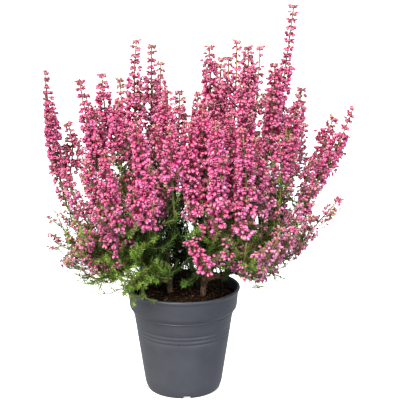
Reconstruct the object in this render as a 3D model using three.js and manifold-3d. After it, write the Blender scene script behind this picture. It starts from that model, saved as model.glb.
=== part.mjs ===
// Potted cape heath, an evergreen shrub in flower, in a 12 cm nursery pot.
// Two woody stems stand in the soil and fork low down. Each fork carries a fan of leafy stems,
// and each leafy stem ends in a flower spike: whorls of small hanging bells round a slim core.
// Millimetres, +Z up, origin at the centre of the pot's underside.

import * as THREE from 'three';
import { mergeVertices } from 'three/addons/utils/BufferGeometryUtils.js';
import Module from 'manifold-3d';

const wasm = await Module();
wasm.setup();

// Driving dimensions of the pot
const POT_HEIGHT = 112;
const LIP_RADIUS = 60;
const COLLAR_RADIUS_TOP = 58.4;
const COLLAR_RADIUS_LOW = 56.6;
const COLLAR_LOW_Z = 88.5;
const BODY_RADIUS_TOP = 52;
const BODY_TOP_Z = 83;
const BODY_RADIUS_LOW = 41;
const BODY_LOW_Z = 6.5;
const BASE_RADIUS = 37.6;
const WALL = 1.6;
const POT_SIDES = 28;
const DRAIN_COUNT = 4;
const DRAIN_TURN = 0.11;
const DRAIN_WIDTH = 7.5;
const DRAIN_HEIGHT = 2.6;
const DRAIN_LENGTH = 16;

// Driving dimensions of the soil
const CLEARANCE = 0.3;
const SOIL_EDGE_Z = 102;
const SOIL_CROWN = 4;
const SOIL_LUMP = 0.8;
const STEM_HOLE_FLOOR = 70;

// Driving dimensions of the plant
const TRUNK_RADIUS = 3.2;
const CROWN_Z = 113;
const WOODY_SIDES = 5;
const LIMB_RADIUS = 2;
const LIMB_END_RADIUS = 1.5;
const LEAFY_RADIUS = 1.4;
const LEAFY_END_RADIUS = 0.9;
const NEEDLE_LENGTH = 4.6;
const NEEDLE_ROOT = 1.3;
const NEEDLE_RISE = 2.6;
const NEEDLE_SPACING = 27;
const SHOOT_NEEDLE_SPACING = 13;
const FLOWER_RADIUS = 6.8;
const TIP_FLOWER_RADIUS = 4.4;
const FLOWER_STEP = 15.4;
const FLOWER_LENGTH = 15.2;
const LOWEST_WHORL_SHARE = 0.72;
const BUD_STEP = 8.4;
const BUD_LENGTH = 5.4;
const CORE_RADIUS = 2.6;
const AXIS_RADIUS = 0.85;
const MOUTH_SPREAD = 0.36;
const UNEVENNESS = 0.12;
const TIP_BUD_LENGTH = 2;

// How the stems are laid out: the spacing of the points on them, the radius that each keeps
// free round its flowers and leaves, and the rounds in which they are eased apart
const SAMPLE_SPACING = 8;
const LEAFY_ROOM = 1.9;
const FLOWER_ROOM = 7.6;
const SPARE_ROOM = 0.5;
const EASE_ROUNDS = 90;
const EASE_SHARE = 0.35;
const EASE_UPRIGHT = 0.3;

// Colours, by part
const POT_GREY = 0x5a5d63;
const SOIL_BROWN = 0x33241b;
const BARK_BROWN = 0x7a5a3c;
const LEAF_GREEN = 0x55802f;
const FLOWER_PINK = 0xd8458f;

// The two woody stems, each with the place where it stands in the soil
const TRUNKS = [
  { name: 'woody_stem_left', root: [-14, -6] },
  { name: 'woody_stem_right', root: [21, -11] },
];

// The forks of the woody stems: where each ends, and the way it points there
const LIMBS = [
  { name: 'far_left', trunk: 0, end: [-45, -12, 136], way: [-0.75, -0.1, 0.62] },
  { name: 'front_left', trunk: 0, end: [-34, -40, 134], way: [-0.4, -0.6, 0.66] },
  { name: 'back_left', trunk: 0, end: [-38, 28, 140], way: [-0.55, 0.5, 0.67] },
  { name: 'upper_left', trunk: 0, end: [-19, -3, 150], way: [-0.2, 0.05, 0.97] },
  { name: 'back', trunk: 0, end: [-8, 36, 142], way: [0, 0.7, 0.7] },
  { name: 'front_right', trunk: 1, end: [20, -46, 136], way: [0.05, -0.65, 0.75] },
  { name: 'upper_right', trunk: 1, end: [34, -2, 152], way: [0.25, 0.1, 0.95] },
  { name: 'far_right', trunk: 1, end: [61, -12, 136], way: [0.8, 0, 0.6] },
  { name: 'right_front', trunk: 1, end: [48, -38, 136], way: [0.5, -0.5, 0.7] },
  { name: 'back_right', trunk: 1, end: [46, 32, 140], way: [0.5, 0.55, 0.66] },
];

// The flower spikes: the limb that carries each, where its flowers start, a point half way,
// its tip, and the length at the tip where the whorls stand apart
const SPIKES = [
  { limb: 'far_left', foot: [-117, -10, 200], middle: [-131, -6, 264], tip: [-139, 0, 338], open: 24,
    side: { middle: [-114, 2, 240], tip: [-119, 7, 284], open: 6 } },
  { limb: 'far_left', foot: [-84, -40, 238], middle: [-93, -33, 286], tip: [-101, -25, 330], open: 26,
    side: { middle: [-84, -12, 262], tip: [-91, 4, 298], open: 12 } },
  { limb: 'far_left', foot: [-84, -52, 178], middle: [-103, -53, 212], tip: [-115, -46, 246], open: 8 },
  { limb: 'far_left', foot: [-62, -62, 160], middle: [-79, -64, 206], tip: [-92, -56, 256], open: 8 },
  { limb: 'front_left', foot: [-57, -52, 232], middle: [-64, -42, 274], tip: [-62, -32, 312], open: 10 },
  { limb: 'front_left', foot: [-26, -94, 190], middle: [-36, -88, 244], tip: [-44, -76, 296], open: 6,
    side: { middle: [-38, -98, 212], tip: [-43, -94, 238], open: 4 } },
  { limb: 'front_left', foot: [-56, -84, 192], middle: [-68, -88, 230], tip: [-73, -80, 270], open: 6 },
  { limb: 'front_left', foot: [-6, -92, 206], middle: [-9, -92, 250], tip: [-10, -80, 292], open: 6 },
  { limb: 'front_left', foot: [-16, -52, 222], middle: [-16, -38, 278], tip: [-14, -26, 320], open: 8 },
  { limb: 'upper_left', foot: [-70, 12, 240], middle: [-80, 18, 290], tip: [-84, 25, 332], open: 6 },
  { limb: 'upper_left', foot: [-46, 6, 252], middle: [-50, 12, 312], tip: [-47, 16, 368], open: 28 },
  { limb: 'upper_left', foot: [-34, 32, 246], middle: [-34, 40, 302], tip: [-33, 46, 361], open: 32 },
  { limb: 'upper_left', foot: [-8, 16, 216], middle: [-5, 24, 266], tip: [-4, 32, 314], open: 8 },
  { limb: 'back_left', foot: [-80, 46, 204], middle: [-95, 60, 252], tip: [-106, 70, 306], open: 14 },
  { limb: 'back_left', foot: [-58, 72, 216], middle: [-67, 88, 268], tip: [-71, 100, 320], open: 16 },
  { limb: 'back_left', foot: [-48, 104, 176], middle: [-56, 124, 212], tip: [-62, 136, 250], open: 8 },
  { limb: 'back_left', foot: [-88, 72, 172], middle: [-106, 86, 208], tip: [-120, 96, 252], open: 10 },
  { limb: 'back', foot: [-24, 80, 230], middle: [-27, 98, 284], tip: [-26, 110, 338], open: 18 },
  { limb: 'back', foot: [10, 98, 196], middle: [13, 116, 248], tip: [15, 128, 302], open: 10 },
  { limb: 'back', foot: [22, 118, 172], middle: [28, 138, 206], tip: [32, 148, 246], open: 8 },
  { limb: 'front_right', foot: [14, -88, 194], middle: [8, -83, 244], tip: [7, -72, 296], open: 6 },
  { limb: 'front_right', foot: [24, -72, 214], middle: [21, -68, 262], tip: [20, -58, 312], open: 8 },
  { limb: 'front_right', foot: [34, -102, 196], middle: [34, -97, 246], tip: [32, -86, 298], open: 6 },
  { limb: 'front_right', foot: [48, -80, 194], middle: [48, -76, 246], tip: [46, -64, 304], open: 6 },
  { limb: 'front_right', foot: [28, -104, 158], middle: [18, -106, 172], tip: [8, -104, 188], open: 0 },
  { limb: 'upper_right', foot: [26, -22, 244], middle: [28, -16, 306], tip: [27, -10, 363], open: 6 },
  { limb: 'upper_right', foot: [42, 36, 246], middle: [46, 44, 300], tip: [48, 50, 348], open: 14 },
  { limb: 'upper_right', foot: [51, 6, 252], middle: [54, 10, 310], tip: [55, 15, 368], open: 32 },
  { limb: 'upper_right', foot: [60, -46, 258], middle: [64, -42, 312], tip: [64, -35, 365], open: 10 },
  { limb: 'upper_right', foot: [70, 20, 250], middle: [77, 29, 306], tip: [80, 35, 360], open: 44 },
  { limb: 'upper_right', foot: [32, 74, 234], middle: [38, 86, 290], tip: [41, 94, 344], open: 14 },
  { limb: 'right_front', foot: [62, -100, 186], middle: [61, -96, 238], tip: [57, -86, 292], open: 6 },
  { limb: 'right_front', foot: [77, -78, 178], middle: [75, -74, 228], tip: [70, -62, 280], open: 6 },
  { limb: 'right_front', foot: [93, -66, 196], middle: [96, -63, 238], tip: [94, -54, 280], open: 6 },
  { limb: 'right_front', foot: [92, -60, 158], middle: [106, -62, 184], tip: [116, -58, 214], open: 8 },
  { limb: 'right_front', foot: [68, -84, 150], middle: [84, -90, 172], tip: [95, -88, 198], open: 6 },
  { limb: 'right_front', foot: [84, -32, 252], middle: [91, -26, 302], tip: [91, -20, 347], open: 6 },
  { limb: 'far_right', foot: [122, -18, 204], middle: [150, -12, 250], tip: [174, -4, 306], open: 14,
    side: { middle: [143, 14, 252], tip: [159, 32, 286], open: 10 } },
  { limb: 'far_right', foot: [116, -30, 164], middle: [139, -30, 190], tip: [159, -25, 212], open: 10,
    side: { middle: [125, -22, 212], tip: [133, -16, 250], open: 6 } },
  { limb: 'far_right', foot: [98, -38, 224], middle: [104, -30, 266], tip: [115, -20, 308], open: 10 },
  { limb: 'far_right', foot: [90, 0, 262], middle: [103, 5, 332], tip: [112, 10, 405], open: 60 },
  { limb: 'back_right', foot: [60, 86, 218], middle: [68, 104, 268], tip: [74, 116, 320], open: 12 },
  { limb: 'back_right', foot: [86, 62, 228], middle: [96, 76, 280], tip: [104, 85, 332], open: 16 },
  { limb: 'back_right', foot: [104, 60, 186], middle: [121, 74, 226], tip: [134, 86, 272], open: 12 },
  { limb: 'back_right', foot: [66, 106, 180], middle: [77, 124, 216], tip: [84, 136, 256], open: 8 },
  { limb: 'back_right', foot: [104, 28, 226], middle: [116, 34, 270], tip: [125, 40, 316], open: 10 },
];

// Green shoots without flowers, low on the plant
const SHOOTS = [
  { limb: 'far_left', middle: [-103, -20, 142], tip: [-131, -16, 192] },
  { limb: 'far_left', middle: [-80, -2, 134], tip: [-108, 2, 144] },
  { limb: 'far_left', middle: [-72, -34, 130], tip: [-90, -44, 130] },
  { limb: 'front_left', middle: [-52, -64, 130], tip: [-64, -76, 128] },
  { limb: 'front_left', middle: [-16, -70, 138], tip: [-10, -86, 150] },
  { limb: 'back_left', middle: [-66, 52, 140], tip: [-88, 66, 138] },
  { limb: 'back_left', middle: [-52, 66, 146], tip: [-66, 88, 150] },
  { limb: 'back', middle: [-10, 72, 142], tip: [-12, 100, 150] },
  { limb: 'front_right', middle: [6, -72, 136], tip: [0, -88, 138] },
  { limb: 'far_right', middle: [92, 4, 134], tip: [128, 0, 154] },
  { limb: 'far_right', middle: [84, -22, 130], tip: [104, -34, 132] },
  { limb: 'right_front', middle: [64, -60, 138], tip: [80, -70, 139] },
  { limb: 'back_right', middle: [66, 62, 138], tip: [80, 84, 142] },
  { limb: 'back_right', middle: [72, 36, 136], tip: [98, 46, 142] },
];

// A repeatable run of draws between 0 and 1
function seededDraws(seed) {
  let state = seed;
  return () => {
    state = (state + 0x6d2b79f5) | 0;
    let mixed = Math.imul(state ^ (state >>> 15), 1 | state);
    mixed = (mixed + Math.imul(mixed ^ (mixed >>> 7), 61 | mixed)) ^ mixed;
    return ((mixed ^ (mixed >>> 14)) >>> 0) / 4294967296;
  };
}

// Solids for joining and cutting
function toSolid(geometry) {
  const bare = geometry.clone();
  bare.deleteAttribute('normal');
  bare.deleteAttribute('uv');
  const merged = mergeVertices(bare, 1e-3);
  return new wasm.Manifold(new wasm.Mesh({
    numProp: 3,
    vertProperties: new Float32Array(merged.attributes.position.array),
    triVerts: new Uint32Array(merged.index.array),
  }));
}

function toGeometry(solid) {
  const mesh = solid.getMesh();
  const geometry = new THREE.BufferGeometry();
  geometry.setAttribute('position', new THREE.BufferAttribute(mesh.vertProperties, 3));
  geometry.setIndex(new THREE.BufferAttribute(mesh.triVerts, 1));
  return geometry;
}

// Joins solids into one body, and fills any small hollow that joining seals
function joinAll(solids) {
  const bodies = solids.reduce((whole, solid) => whole.add(solid)).decompose();
  return bodies.reduce((largest, body) => (body.volume() > largest.volume() ? body : largest));
}

// A closed skin that is built ring by ring, from the top of a stem down
class Skin {
  constructor() {
    this.points = [];
    this.faces = [];
  }

  point(position) {
    this.points.push(position.x, position.y, position.z);
    return this.points.length / 3 - 1;
  }

  face(a, b, c) {
    this.faces.push(a, b, c);
  }

  // Points round a place on the stem, at equal angles from the first
  ring(place, radius, first, count) {
    return Array.from({ length: count }, (_, k) =>
      this.point(place.out(first + (k * 2 * Math.PI) / count, radius, 0)));
  }

  // Straight sides between two rings whose points stand above each other
  wall(upper, lower) {
    upper.forEach((a, k) => {
      const next = (k + 1) % upper.length;
      this.face(a, lower[k], lower[next]);
      this.face(a, lower[next], upper[next]);
    });
  }

  // Sides between two rings, the lower one turned by half a step
  turnedWall(upper, lower) {
    upper.forEach((a, k) => {
      const before = (k + upper.length - 1) % upper.length;
      this.face(a, lower[before], lower[k]);
      this.face(a, lower[k], upper[(k + 1) % upper.length]);
    });
  }

  closeTop(ring, apex) {
    ring.forEach((a, k) => this.face(apex, a, ring[(k + 1) % ring.length]));
  }

  closeFoot(ring) {
    for (let k = 1; k < ring.length - 1; k += 1) this.face(ring[0], ring[k + 1], ring[k]);
  }

  solid() {
    const geometry = new THREE.BufferGeometry();
    geometry.setAttribute('position', new THREE.Float32BufferAttribute(this.points, 3));
    geometry.setIndex(this.faces);
    return toSolid(geometry);
  }
}

// Places along a stem, by distance from its tip, with directions that don't twist
class StemLine {
  constructor(points) {
    const curve = new THREE.CatmullRomCurve3(points, false, 'centripetal');
    const steps = points.length * 6;
    this.samples = curve.getSpacedPoints(steps).reverse();
    this.length = curve.getLength();
    this.spacing = this.length / steps;
    this.tangents = this.samples.map((_, i) => {
      const above = this.samples[Math.max(i - 1, 0)];
      const below = this.samples[Math.min(i + 1, steps)];
      return above.clone().sub(below).normalize();
    });
    let side = new THREE.Vector3(0, 1, 0);
    this.sides = this.tangents.map((tangent) => {
      side = side.clone().addScaledVector(tangent, -side.dot(tangent)).normalize();
      return side;
    });
  }

  // How far below the tip the line passes nearest to a point
  distanceTo(point) {
    const gaps = this.samples.map((sample) => sample.distanceTo(point));
    return gaps.indexOf(Math.min(...gaps)) * this.spacing;
  }

  at(distance) {
    const position = Math.min(Math.max(distance / this.spacing, 0), this.samples.length - 1);
    const i = Math.min(Math.floor(position), this.samples.length - 2);
    const share = position - i;
    const centre = this.samples[i].clone().lerp(this.samples[i + 1], share);
    const up = this.tangents[i].clone().lerp(this.tangents[i + 1], share).normalize();
    const side = this.sides[i].clone().lerp(this.sides[i + 1], share);
    side.addScaledVector(up, -side.dot(up)).normalize();
    const across = up.clone().cross(side);
    const out = (angle, radius, rise) => centre.clone()
      .addScaledVector(side, radius * Math.cos(angle))
      .addScaledVector(across, radius * Math.sin(angle))
      .addScaledVector(up, rise);
    return { centre, up, out };
  }
}

// One whorl of four hanging bells, from the ring above it to a new ring below. A bell has
// two corners at its mouth, and a bud closes in one
function bellWhorl(skin, upper, place, below, first, size) {
  const quarter = Math.PI / 2;
  const valleys = [];
  const mouths = [];
  for (let k = 0; k < 4; k += 1) {
    const angle = first + k * quarter;
    const drop = -size.length * size.vary(UNEVENNESS);
    const radius = size.radius * size.vary(UNEVENNESS);
    valleys.push(skin.point(place.out(angle + quarter / 2, size.valley, -size.length * 0.45)));
    const corners = size.isBud ? [angle] : [angle - MOUTH_SPREAD, angle + MOUTH_SPREAD];
    mouths.push(corners.map((corner) => skin.point(place.out(corner, radius, drop))));
  }
  const lower = skin.ring(below, size.core, first + quarter / 2, 4);
  for (let k = 0; k < 4; k += 1) {
    const before = (k + 3) % 4;
    const mouth = mouths[k];
    const last = mouth[mouth.length - 1];
    skin.face(upper[k], valleys[before], mouth[0]);
    if (mouth.length === 2) skin.face(upper[k], mouth[0], mouth[1]);
    skin.face(upper[k], last, valleys[k]);
    skin.face(upper[k], valleys[k], upper[(k + 1) % 4]);
    skin.face(valleys[before], lower[before], mouth[0]);
    skin.face(mouth[0], lower[before], lower[k]);
    if (mouth.length === 2) skin.face(mouth[0], lower[k], mouth[1]);
    skin.face(last, lower[k], valleys[k]);
  }
  return lower;
}

// A flower spike from its tip to the distance where the flowers start: open whorls of buds
// first, then whorls of full bells that hang over each other and hide the core
function flowerSpike(line, start, openLength, draw) {
  const skin = new Skin();
  const vary = (share) => 1 + share * (2 * draw() - 1);
  let turn = draw() * Math.PI;
  let distance = TIP_BUD_LENGTH;
  const apex = skin.point(line.at(0).centre);
  let ring = skin.ring(line.at(distance), AXIS_RADIUS, turn, 4);
  skin.closeTop(ring, apex);
  while (distance < openLength && distance + BUD_STEP * 2 < start) {
    const step = BUD_STEP * vary(UNEVENNESS);
    const size = {
      length: BUD_LENGTH,
      radius: TIP_FLOWER_RADIUS + distance * 0.02,
      valley: AXIS_RADIUS * 1.6,
      core: AXIS_RADIUS,
      isBud: true,
      vary,
    };
    ring = bellWhorl(skin, ring, line.at(distance), line.at(distance + step), turn, size);
    turn += Math.PI / 4;
    distance += step;
  }
  const count = Math.max(1, Math.round((start - distance) / FLOWER_STEP));
  const step = (start - distance) / count;
  for (let i = 0; i < count; i += 1) {
    const top = distance + i * step;
    const fullness = Math.min(1, 0.72 + 0.14 * i);
    const size = {
      length: step * (i === count - 1 ? LOWEST_WHORL_SHARE : FLOWER_LENGTH / FLOWER_STEP),
      radius: FLOWER_RADIUS * fullness,
      valley: CORE_RADIUS + 0.8,
      core: CORE_RADIUS,
      isBud: false,
      vary,
    };
    ring = bellWhorl(skin, ring, line.at(top), line.at(top + step), turn, size);
    turn += Math.PI / 4;
  }
  skin.closeFoot(ring);
  return skin.solid();
}

// One whorl of three needles, each grown from a whole face of the stem
function needleWhorl(skin, place, below, radius, turn, draw) {
  const third = (2 * Math.PI) / 3;
  const upper = skin.ring(place, radius, turn, 3);
  const lower = skin.ring(below, radius, turn, 3);
  for (let k = 0; k < 3; k += 1) {
    const next = (k + 1) % 3;
    const rise = NEEDLE_RISE * (0.6 + 0.8 * draw());
    const tip = skin.point(place.out(turn + (k + 0.5) * third, NEEDLE_LENGTH, rise));
    skin.face(upper[k], lower[k], tip);
    skin.face(lower[k], lower[next], tip);
    skin.face(lower[next], upper[next], tip);
    skin.face(upper[next], upper[k], tip);
  }
  return { upper, lower };
}

// A leafy stem between two distances from its line's tip. It has whorls of needles where
// there is room for them, and a plain ring at each joint where another stem leaves it
function leafyStem(line, from, joints, hasRoom, draw) {
  const isShoot = from === 0;
  const skin = new Skin();
  const to = line.length;
  const radiusAt = (distance) => THREE.MathUtils.lerp(LEAFY_END_RADIUS, LEAFY_RADIUS, distance / to);
  let turn = draw() * Math.PI;
  let ring = skin.ring(line.at(isShoot ? NEEDLE_ROOT : from), LEAFY_END_RADIUS, turn, 3);
  if (isShoot) skin.closeTop(ring, skin.point(line.at(0).centre));
  else skin.face(ring[0], ring[1], ring[2]);
  const stops = joints.map((distance) => ({ distance, isJoint: true }));
  let distance = isShoot ? NEEDLE_ROOT * 2 : from + NEEDLE_SPACING * 0.5;
  while (distance < to - NEEDLE_LENGTH) {
    const clear = joints.every((joint) => Math.abs(joint - distance) > NEEDLE_ROOT * 2);
    if (clear && hasRoom(line.at(distance).centre)) stops.push({ distance, isJoint: false });
    distance += (isShoot ? SHOOT_NEEDLE_SPACING : NEEDLE_SPACING) * (0.85 + 0.3 * draw());
  }
  stops.sort((a, b) => a.distance - b.distance);
  stops.forEach((stop) => {
    turn += Math.PI / 3;
    const place = line.at(stop.distance);
    const radius = radiusAt(stop.distance);
    if (stop.isJoint) {
      const next = skin.ring(place, radius, turn, 3);
      skin.turnedWall(ring, next);
      ring = next;
      return;
    }
    const whorl = needleWhorl(skin, place, line.at(stop.distance + NEEDLE_ROOT), radius, turn, draw);
    skin.turnedWall(ring, whorl.upper);
    ring = whorl.lower;
  });
  const foot = skin.ring(line.at(to), LEAFY_RADIUS, turn, 3);
  skin.wall(ring, foot);
  skin.closeFoot(foot);
  return skin.solid();
}

// A woody stem with a few sides, which narrows from its foot to its end
function woodyTube(points, footRadius, endRadius) {
  const sides = WOODY_SIDES;
  const line = new StemLine(points);
  const skin = new Skin();
  const rings = points.length - 1;
  let ring = skin.ring(line.at(0), endRadius, 0, sides);
  for (let k = 1; k < sides - 1; k += 1) skin.face(ring[0], ring[k], ring[k + 1]);
  for (let i = 1; i <= rings; i += 1) {
    const share = i / rings;
    const radius = THREE.MathUtils.lerp(endRadius, footRadius, share);
    const next = skin.ring(line.at(line.length * share), radius, 0, sides);
    skin.wall(ring, next);
    ring = next;
  }
  skin.closeFoot(ring);
  return skin.solid();
}

// Evenly spaced points on a curve, no further apart than the given distance
function samplesOn(curve, spacing) {
  return curve.getSpacedPoints(Math.max(2, Math.ceil(curve.getLength() / spacing)));
}

const vector = (values) => new THREE.Vector3(...values);

// The way from a limb's end, or from a place on the limb's leading stem, to the foot of a
// spike and on to its tip, as one row of points
function stemChain(limb, row, leader, joinIndex) {
  const way = leader
    ? leader.points[joinIndex + 1].clone().sub(leader.points[joinIndex - 1]).normalize()
    : vector(limb.way).normalize();
  const start = leader
    ? leader.points[joinIndex].clone()
    : vector(limb.end).addScaledVector(way, CLEARANCE * 1.5);
  const middle = vector(row.middle);
  const tip = vector(row.tip);
  const foot = row.foot ? vector(row.foot) : middle;
  const upward = row.foot
    ? middle.clone().sub(foot).multiplyScalar(2).sub(tip.clone().sub(foot).multiplyScalar(0.5)).normalize()
    : tip.clone().sub(start).normalize();
  const distance = start.distanceTo(foot);
  const lower = samplesOn(new THREE.CubicBezierCurve3(
    start,
    start.clone().addScaledVector(way, distance * (leader ? 0.12 : 0.3)),
    foot.clone().addScaledVector(upward, distance * -0.38),
    foot,
  ), SAMPLE_SPACING);
  const upperCurve = row.foot
    ? new THREE.CatmullRomCurve3([foot, middle, tip], false, 'centripetal')
    : new THREE.LineCurve3(middle, tip);
  const upper = samplesOn(upperCurve, SAMPLE_SPACING);
  return {
    points: [...lower, ...upper.slice(1)],
    footIndex: row.foot ? lower.length - 1 : Infinity,
    limb: limb.name,
    pinned: leader ? 1 : 2,
    leader,
    joinIndex,
    row,
  };
}

// All stems of one limb: the first spike's stem leads, then the shoots and the other spikes'
// stems leave it in turn, from its foot up
function stemsOfLimb(limb) {
  const spikes = SPIKES.filter((row) => row.limb === limb.name);
  const shoots = SHOOTS.filter((row) => row.limb === limb.name);
  const leader = stemChain(limb, spikes[0]);
  const others = [...shoots, ...spikes.slice(1)];
  const last = leader.footIndex - 1;
  return [leader, ...others.map((row, k) => {
    const joinIndex = Math.max(1, Math.min(last, 1 + Math.round((k * (last - 2)) / others.length)));
    return stemChain(limb, row, leader, joinIndex);
  })];
}

// Eases the stems apart until their flowers and needles stand clear of each other. Each point
// keeps the radius that must stay free round it, and the moves are smoothed along each stem
function roomAt(chain, i) {
  if (chain.solidRoom) return chain.solidRoom;
  return i < chain.footIndex - 1 ? LEAFY_ROOM : FLOWER_ROOM;
}

function mayTouch(a, i, b, j) {
  const bothLow = i < a.footIndex - 1 && j < b.footIndex - 1;
  if (a.limb === b.limb && bothLow) return true;
  if (b.leader === a) return i <= b.joinIndex + 2 && j < 3;
  return a.solidRoom !== undefined && b.solidRoom !== undefined;
}

function easeApart(chains) {
  const homes = chains.map((chain) => chain.points.map((p) => p.clone()));
  for (let round = 0; round < EASE_ROUNDS; round += 1) {
    const moves = chains.map((chain) => chain.points.map(() => new THREE.Vector3()));
    for (let a = 0; a < chains.length; a += 1) {
      for (let b = a + 1; b < chains.length; b += 1) {
        pushPair(chains[a], chains[b], moves[a], moves[b]);
      }
    }
    chains.forEach((chain, c) => {
      if (chain.solidRoom) return;
      const shifts = chain.points.map((p, i) => p.clone().add(moves[c][i]).sub(homes[c][i]));
      chain.points.forEach((point, i) => {
        if (i < chain.pinned && !chain.leader) return;
        if (i === 0) {
          point.copy(chain.leader.points[chain.joinIndex]);
          return;
        }
        const before = shifts[i - 1] ?? shifts[i];
        const after = shifts[i + 1] ?? shifts[i];
        const shift = before.clone().add(after).multiplyScalar(0.25).addScaledVector(shifts[i], 0.5);
        point.copy(homes[c][i]).add(shift);
      });
    });
  }
}

function pushPair(first, second, firstMoves, secondMoves) {
  const gap = new THREE.Vector3();
  first.points.forEach((p, i) => {
    second.points.forEach((q, j) => {
      gap.subVectors(p, q);
      const wanted = roomAt(first, i) + roomAt(second, j) + SPARE_ROOM;
      const distance = gap.length();
      if (distance >= wanted || mayTouch(first, i, second, j)) return;
      gap.setZ(gap.z * EASE_UPRIGHT).normalize().multiplyScalar((wanted - distance) * EASE_SHARE);
      if (!first.solidRoom) firstMoves[i].add(gap);
      if (!second.solidRoom) secondMoves[j].sub(gap);
    });
  });
}

// The pot: a thin moulded wall with a rolled lip and a collar, and notches in its foot that
// let water out
function potGeometry() {
  const inner = (radius) => radius - WALL;
  const profile = [
    [0, 0],
    [BASE_RADIUS, 0],
    [BASE_RADIUS + 2.2, 1.6],
    [BODY_RADIUS_LOW, BODY_LOW_Z],
    [BODY_RADIUS_TOP, BODY_TOP_Z],
    [COLLAR_RADIUS_LOW - 0.8, COLLAR_LOW_Z - 1],
    [COLLAR_RADIUS_LOW, COLLAR_LOW_Z],
    [COLLAR_RADIUS_TOP, POT_HEIGHT - 4],
    [LIP_RADIUS, POT_HEIGHT - 2.4],
    [LIP_RADIUS, POT_HEIGHT - 0.8],
    [LIP_RADIUS - 0.8, POT_HEIGHT],
    [LIP_RADIUS - 2.4, POT_HEIGHT],
    [inner(COLLAR_RADIUS_TOP), POT_HEIGHT - 3],
    [inner(COLLAR_RADIUS_LOW), COLLAR_LOW_Z + 0.6],
    [inner(BODY_RADIUS_TOP), BODY_TOP_Z + 0.6],
    [inner(BODY_RADIUS_LOW), BODY_LOW_Z + 0.6],
    [BASE_RADIUS + 0.8, WALL + 1.2],
    [BASE_RADIUS - 0.8, WALL],
    [0, WALL],
  ].map(([radius, z]) => new THREE.Vector2(radius, z));
  const lathe = new THREE.LatheGeometry(profile, POT_SIDES);
  lathe.rotateX(Math.PI / 2);
  const drains = Array.from({ length: DRAIN_COUNT }, (_, k) => {
    const box = new THREE.BoxGeometry(DRAIN_WIDTH, DRAIN_LENGTH, DRAIN_HEIGHT * 2);
    box.translate(0, -BASE_RADIUS, 0);
    box.rotateZ(DRAIN_TURN + (k * 2 * Math.PI) / DRAIN_COUNT);
    return toSolid(box);
  });
  return toGeometry(drains.reduce((pot, drain) => pot.subtract(drain), toSolid(lathe)));
}

// The soil fills the pot, a hair clear of the wall, with a lumpy top and a plain hole for
// each woody stem
function soilGeometry() {
  const gap = WALL + CLEARANCE;
  const share = (SOIL_EDGE_Z - COLLAR_LOW_Z) / (POT_HEIGHT - 4 - COLLAR_LOW_Z);
  const edgeRadius = THREE.MathUtils.lerp(COLLAR_RADIUS_LOW, COLLAR_RADIUS_TOP, share) - gap;
  const profile = [
    [0, WALL + CLEARANCE],
    [BASE_RADIUS - 1.2, WALL + CLEARANCE],
    [BODY_RADIUS_LOW - gap - 0.2, BODY_LOW_Z + 1.2],
    [BODY_RADIUS_TOP - gap - 0.2, BODY_TOP_Z + 1],
    [COLLAR_RADIUS_LOW - gap - 0.2, COLLAR_LOW_Z + 1.4],
    [edgeRadius, SOIL_EDGE_Z],
    [edgeRadius * 0.74, SOIL_EDGE_Z + SOIL_CROWN * 0.5],
    [edgeRadius * 0.4, SOIL_EDGE_Z + SOIL_CROWN * 0.85],
    [0, SOIL_EDGE_Z + SOIL_CROWN],
  ].map(([radius, z]) => new THREE.Vector2(radius, z));
  const lathe = new THREE.LatheGeometry(profile, POT_SIDES);
  lathe.rotateX(Math.PI / 2);
  const places = lathe.attributes.position;
  for (let i = 0; i < places.count; i += 1) {
    const x = places.getX(i);
    const y = places.getY(i);
    const radius = Math.hypot(x, y);
    if (places.getZ(i) < SOIL_EDGE_Z + 0.5 || radius > edgeRadius * 0.9) continue;
    places.setZ(i, places.getZ(i) + SOIL_LUMP * Math.sin(x * 0.31 + 1) * Math.cos(y * 0.27));
  }
  const holes = TRUNKS.map(({ root }) => {
    const depth = POT_HEIGHT - STEM_HOLE_FLOOR;
    const hole = new THREE.CylinderGeometry(TRUNK_RADIUS + 0.6, TRUNK_RADIUS + 0.6, depth, 8);
    hole.rotateX(Math.PI / 2);
    hole.translate(root[0], root[1], STEM_HOLE_FLOOR + depth / 2);
    return toSolid(hole);
  });
  return toGeometry(holes.reduce((soil, hole) => soil.subtract(hole), toSolid(lathe)));
}

// The way of each limb, from its trunk's crown to its end
function limbCurve(limb) {
  const [x, y] = TRUNKS[limb.trunk].root;
  const crown = new THREE.Vector3(x, y, CROWN_Z - 4);
  const end = vector(limb.end);
  const way = vector(limb.way).normalize();
  const reach = crown.distanceTo(end) * 0.45;
  return new THREE.CubicBezierCurve3(
    crown,
    crown.clone().add(new THREE.Vector3(0, 0, reach * 0.6)),
    end.clone().addScaledVector(way, -reach),
    end,
  );
}

function woodyGeometry(index) {
  const [x, y] = TRUNKS[index].root;
  const trunk = woodyTube([
    new THREE.Vector3(x, y, STEM_HOLE_FLOOR + CLEARANCE * 2),
    new THREE.Vector3(x, y, CROWN_Z),
  ], TRUNK_RADIUS, TRUNK_RADIUS * 0.9);
  const limbs = LIMBS.filter((limb) => limb.trunk === index)
    .map((limb) => woodyTube(limbCurve(limb).getSpacedPoints(3), LIMB_RADIUS, LIMB_END_RADIUS));
  return toGeometry(joinAll([trunk, ...limbs]));
}

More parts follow.
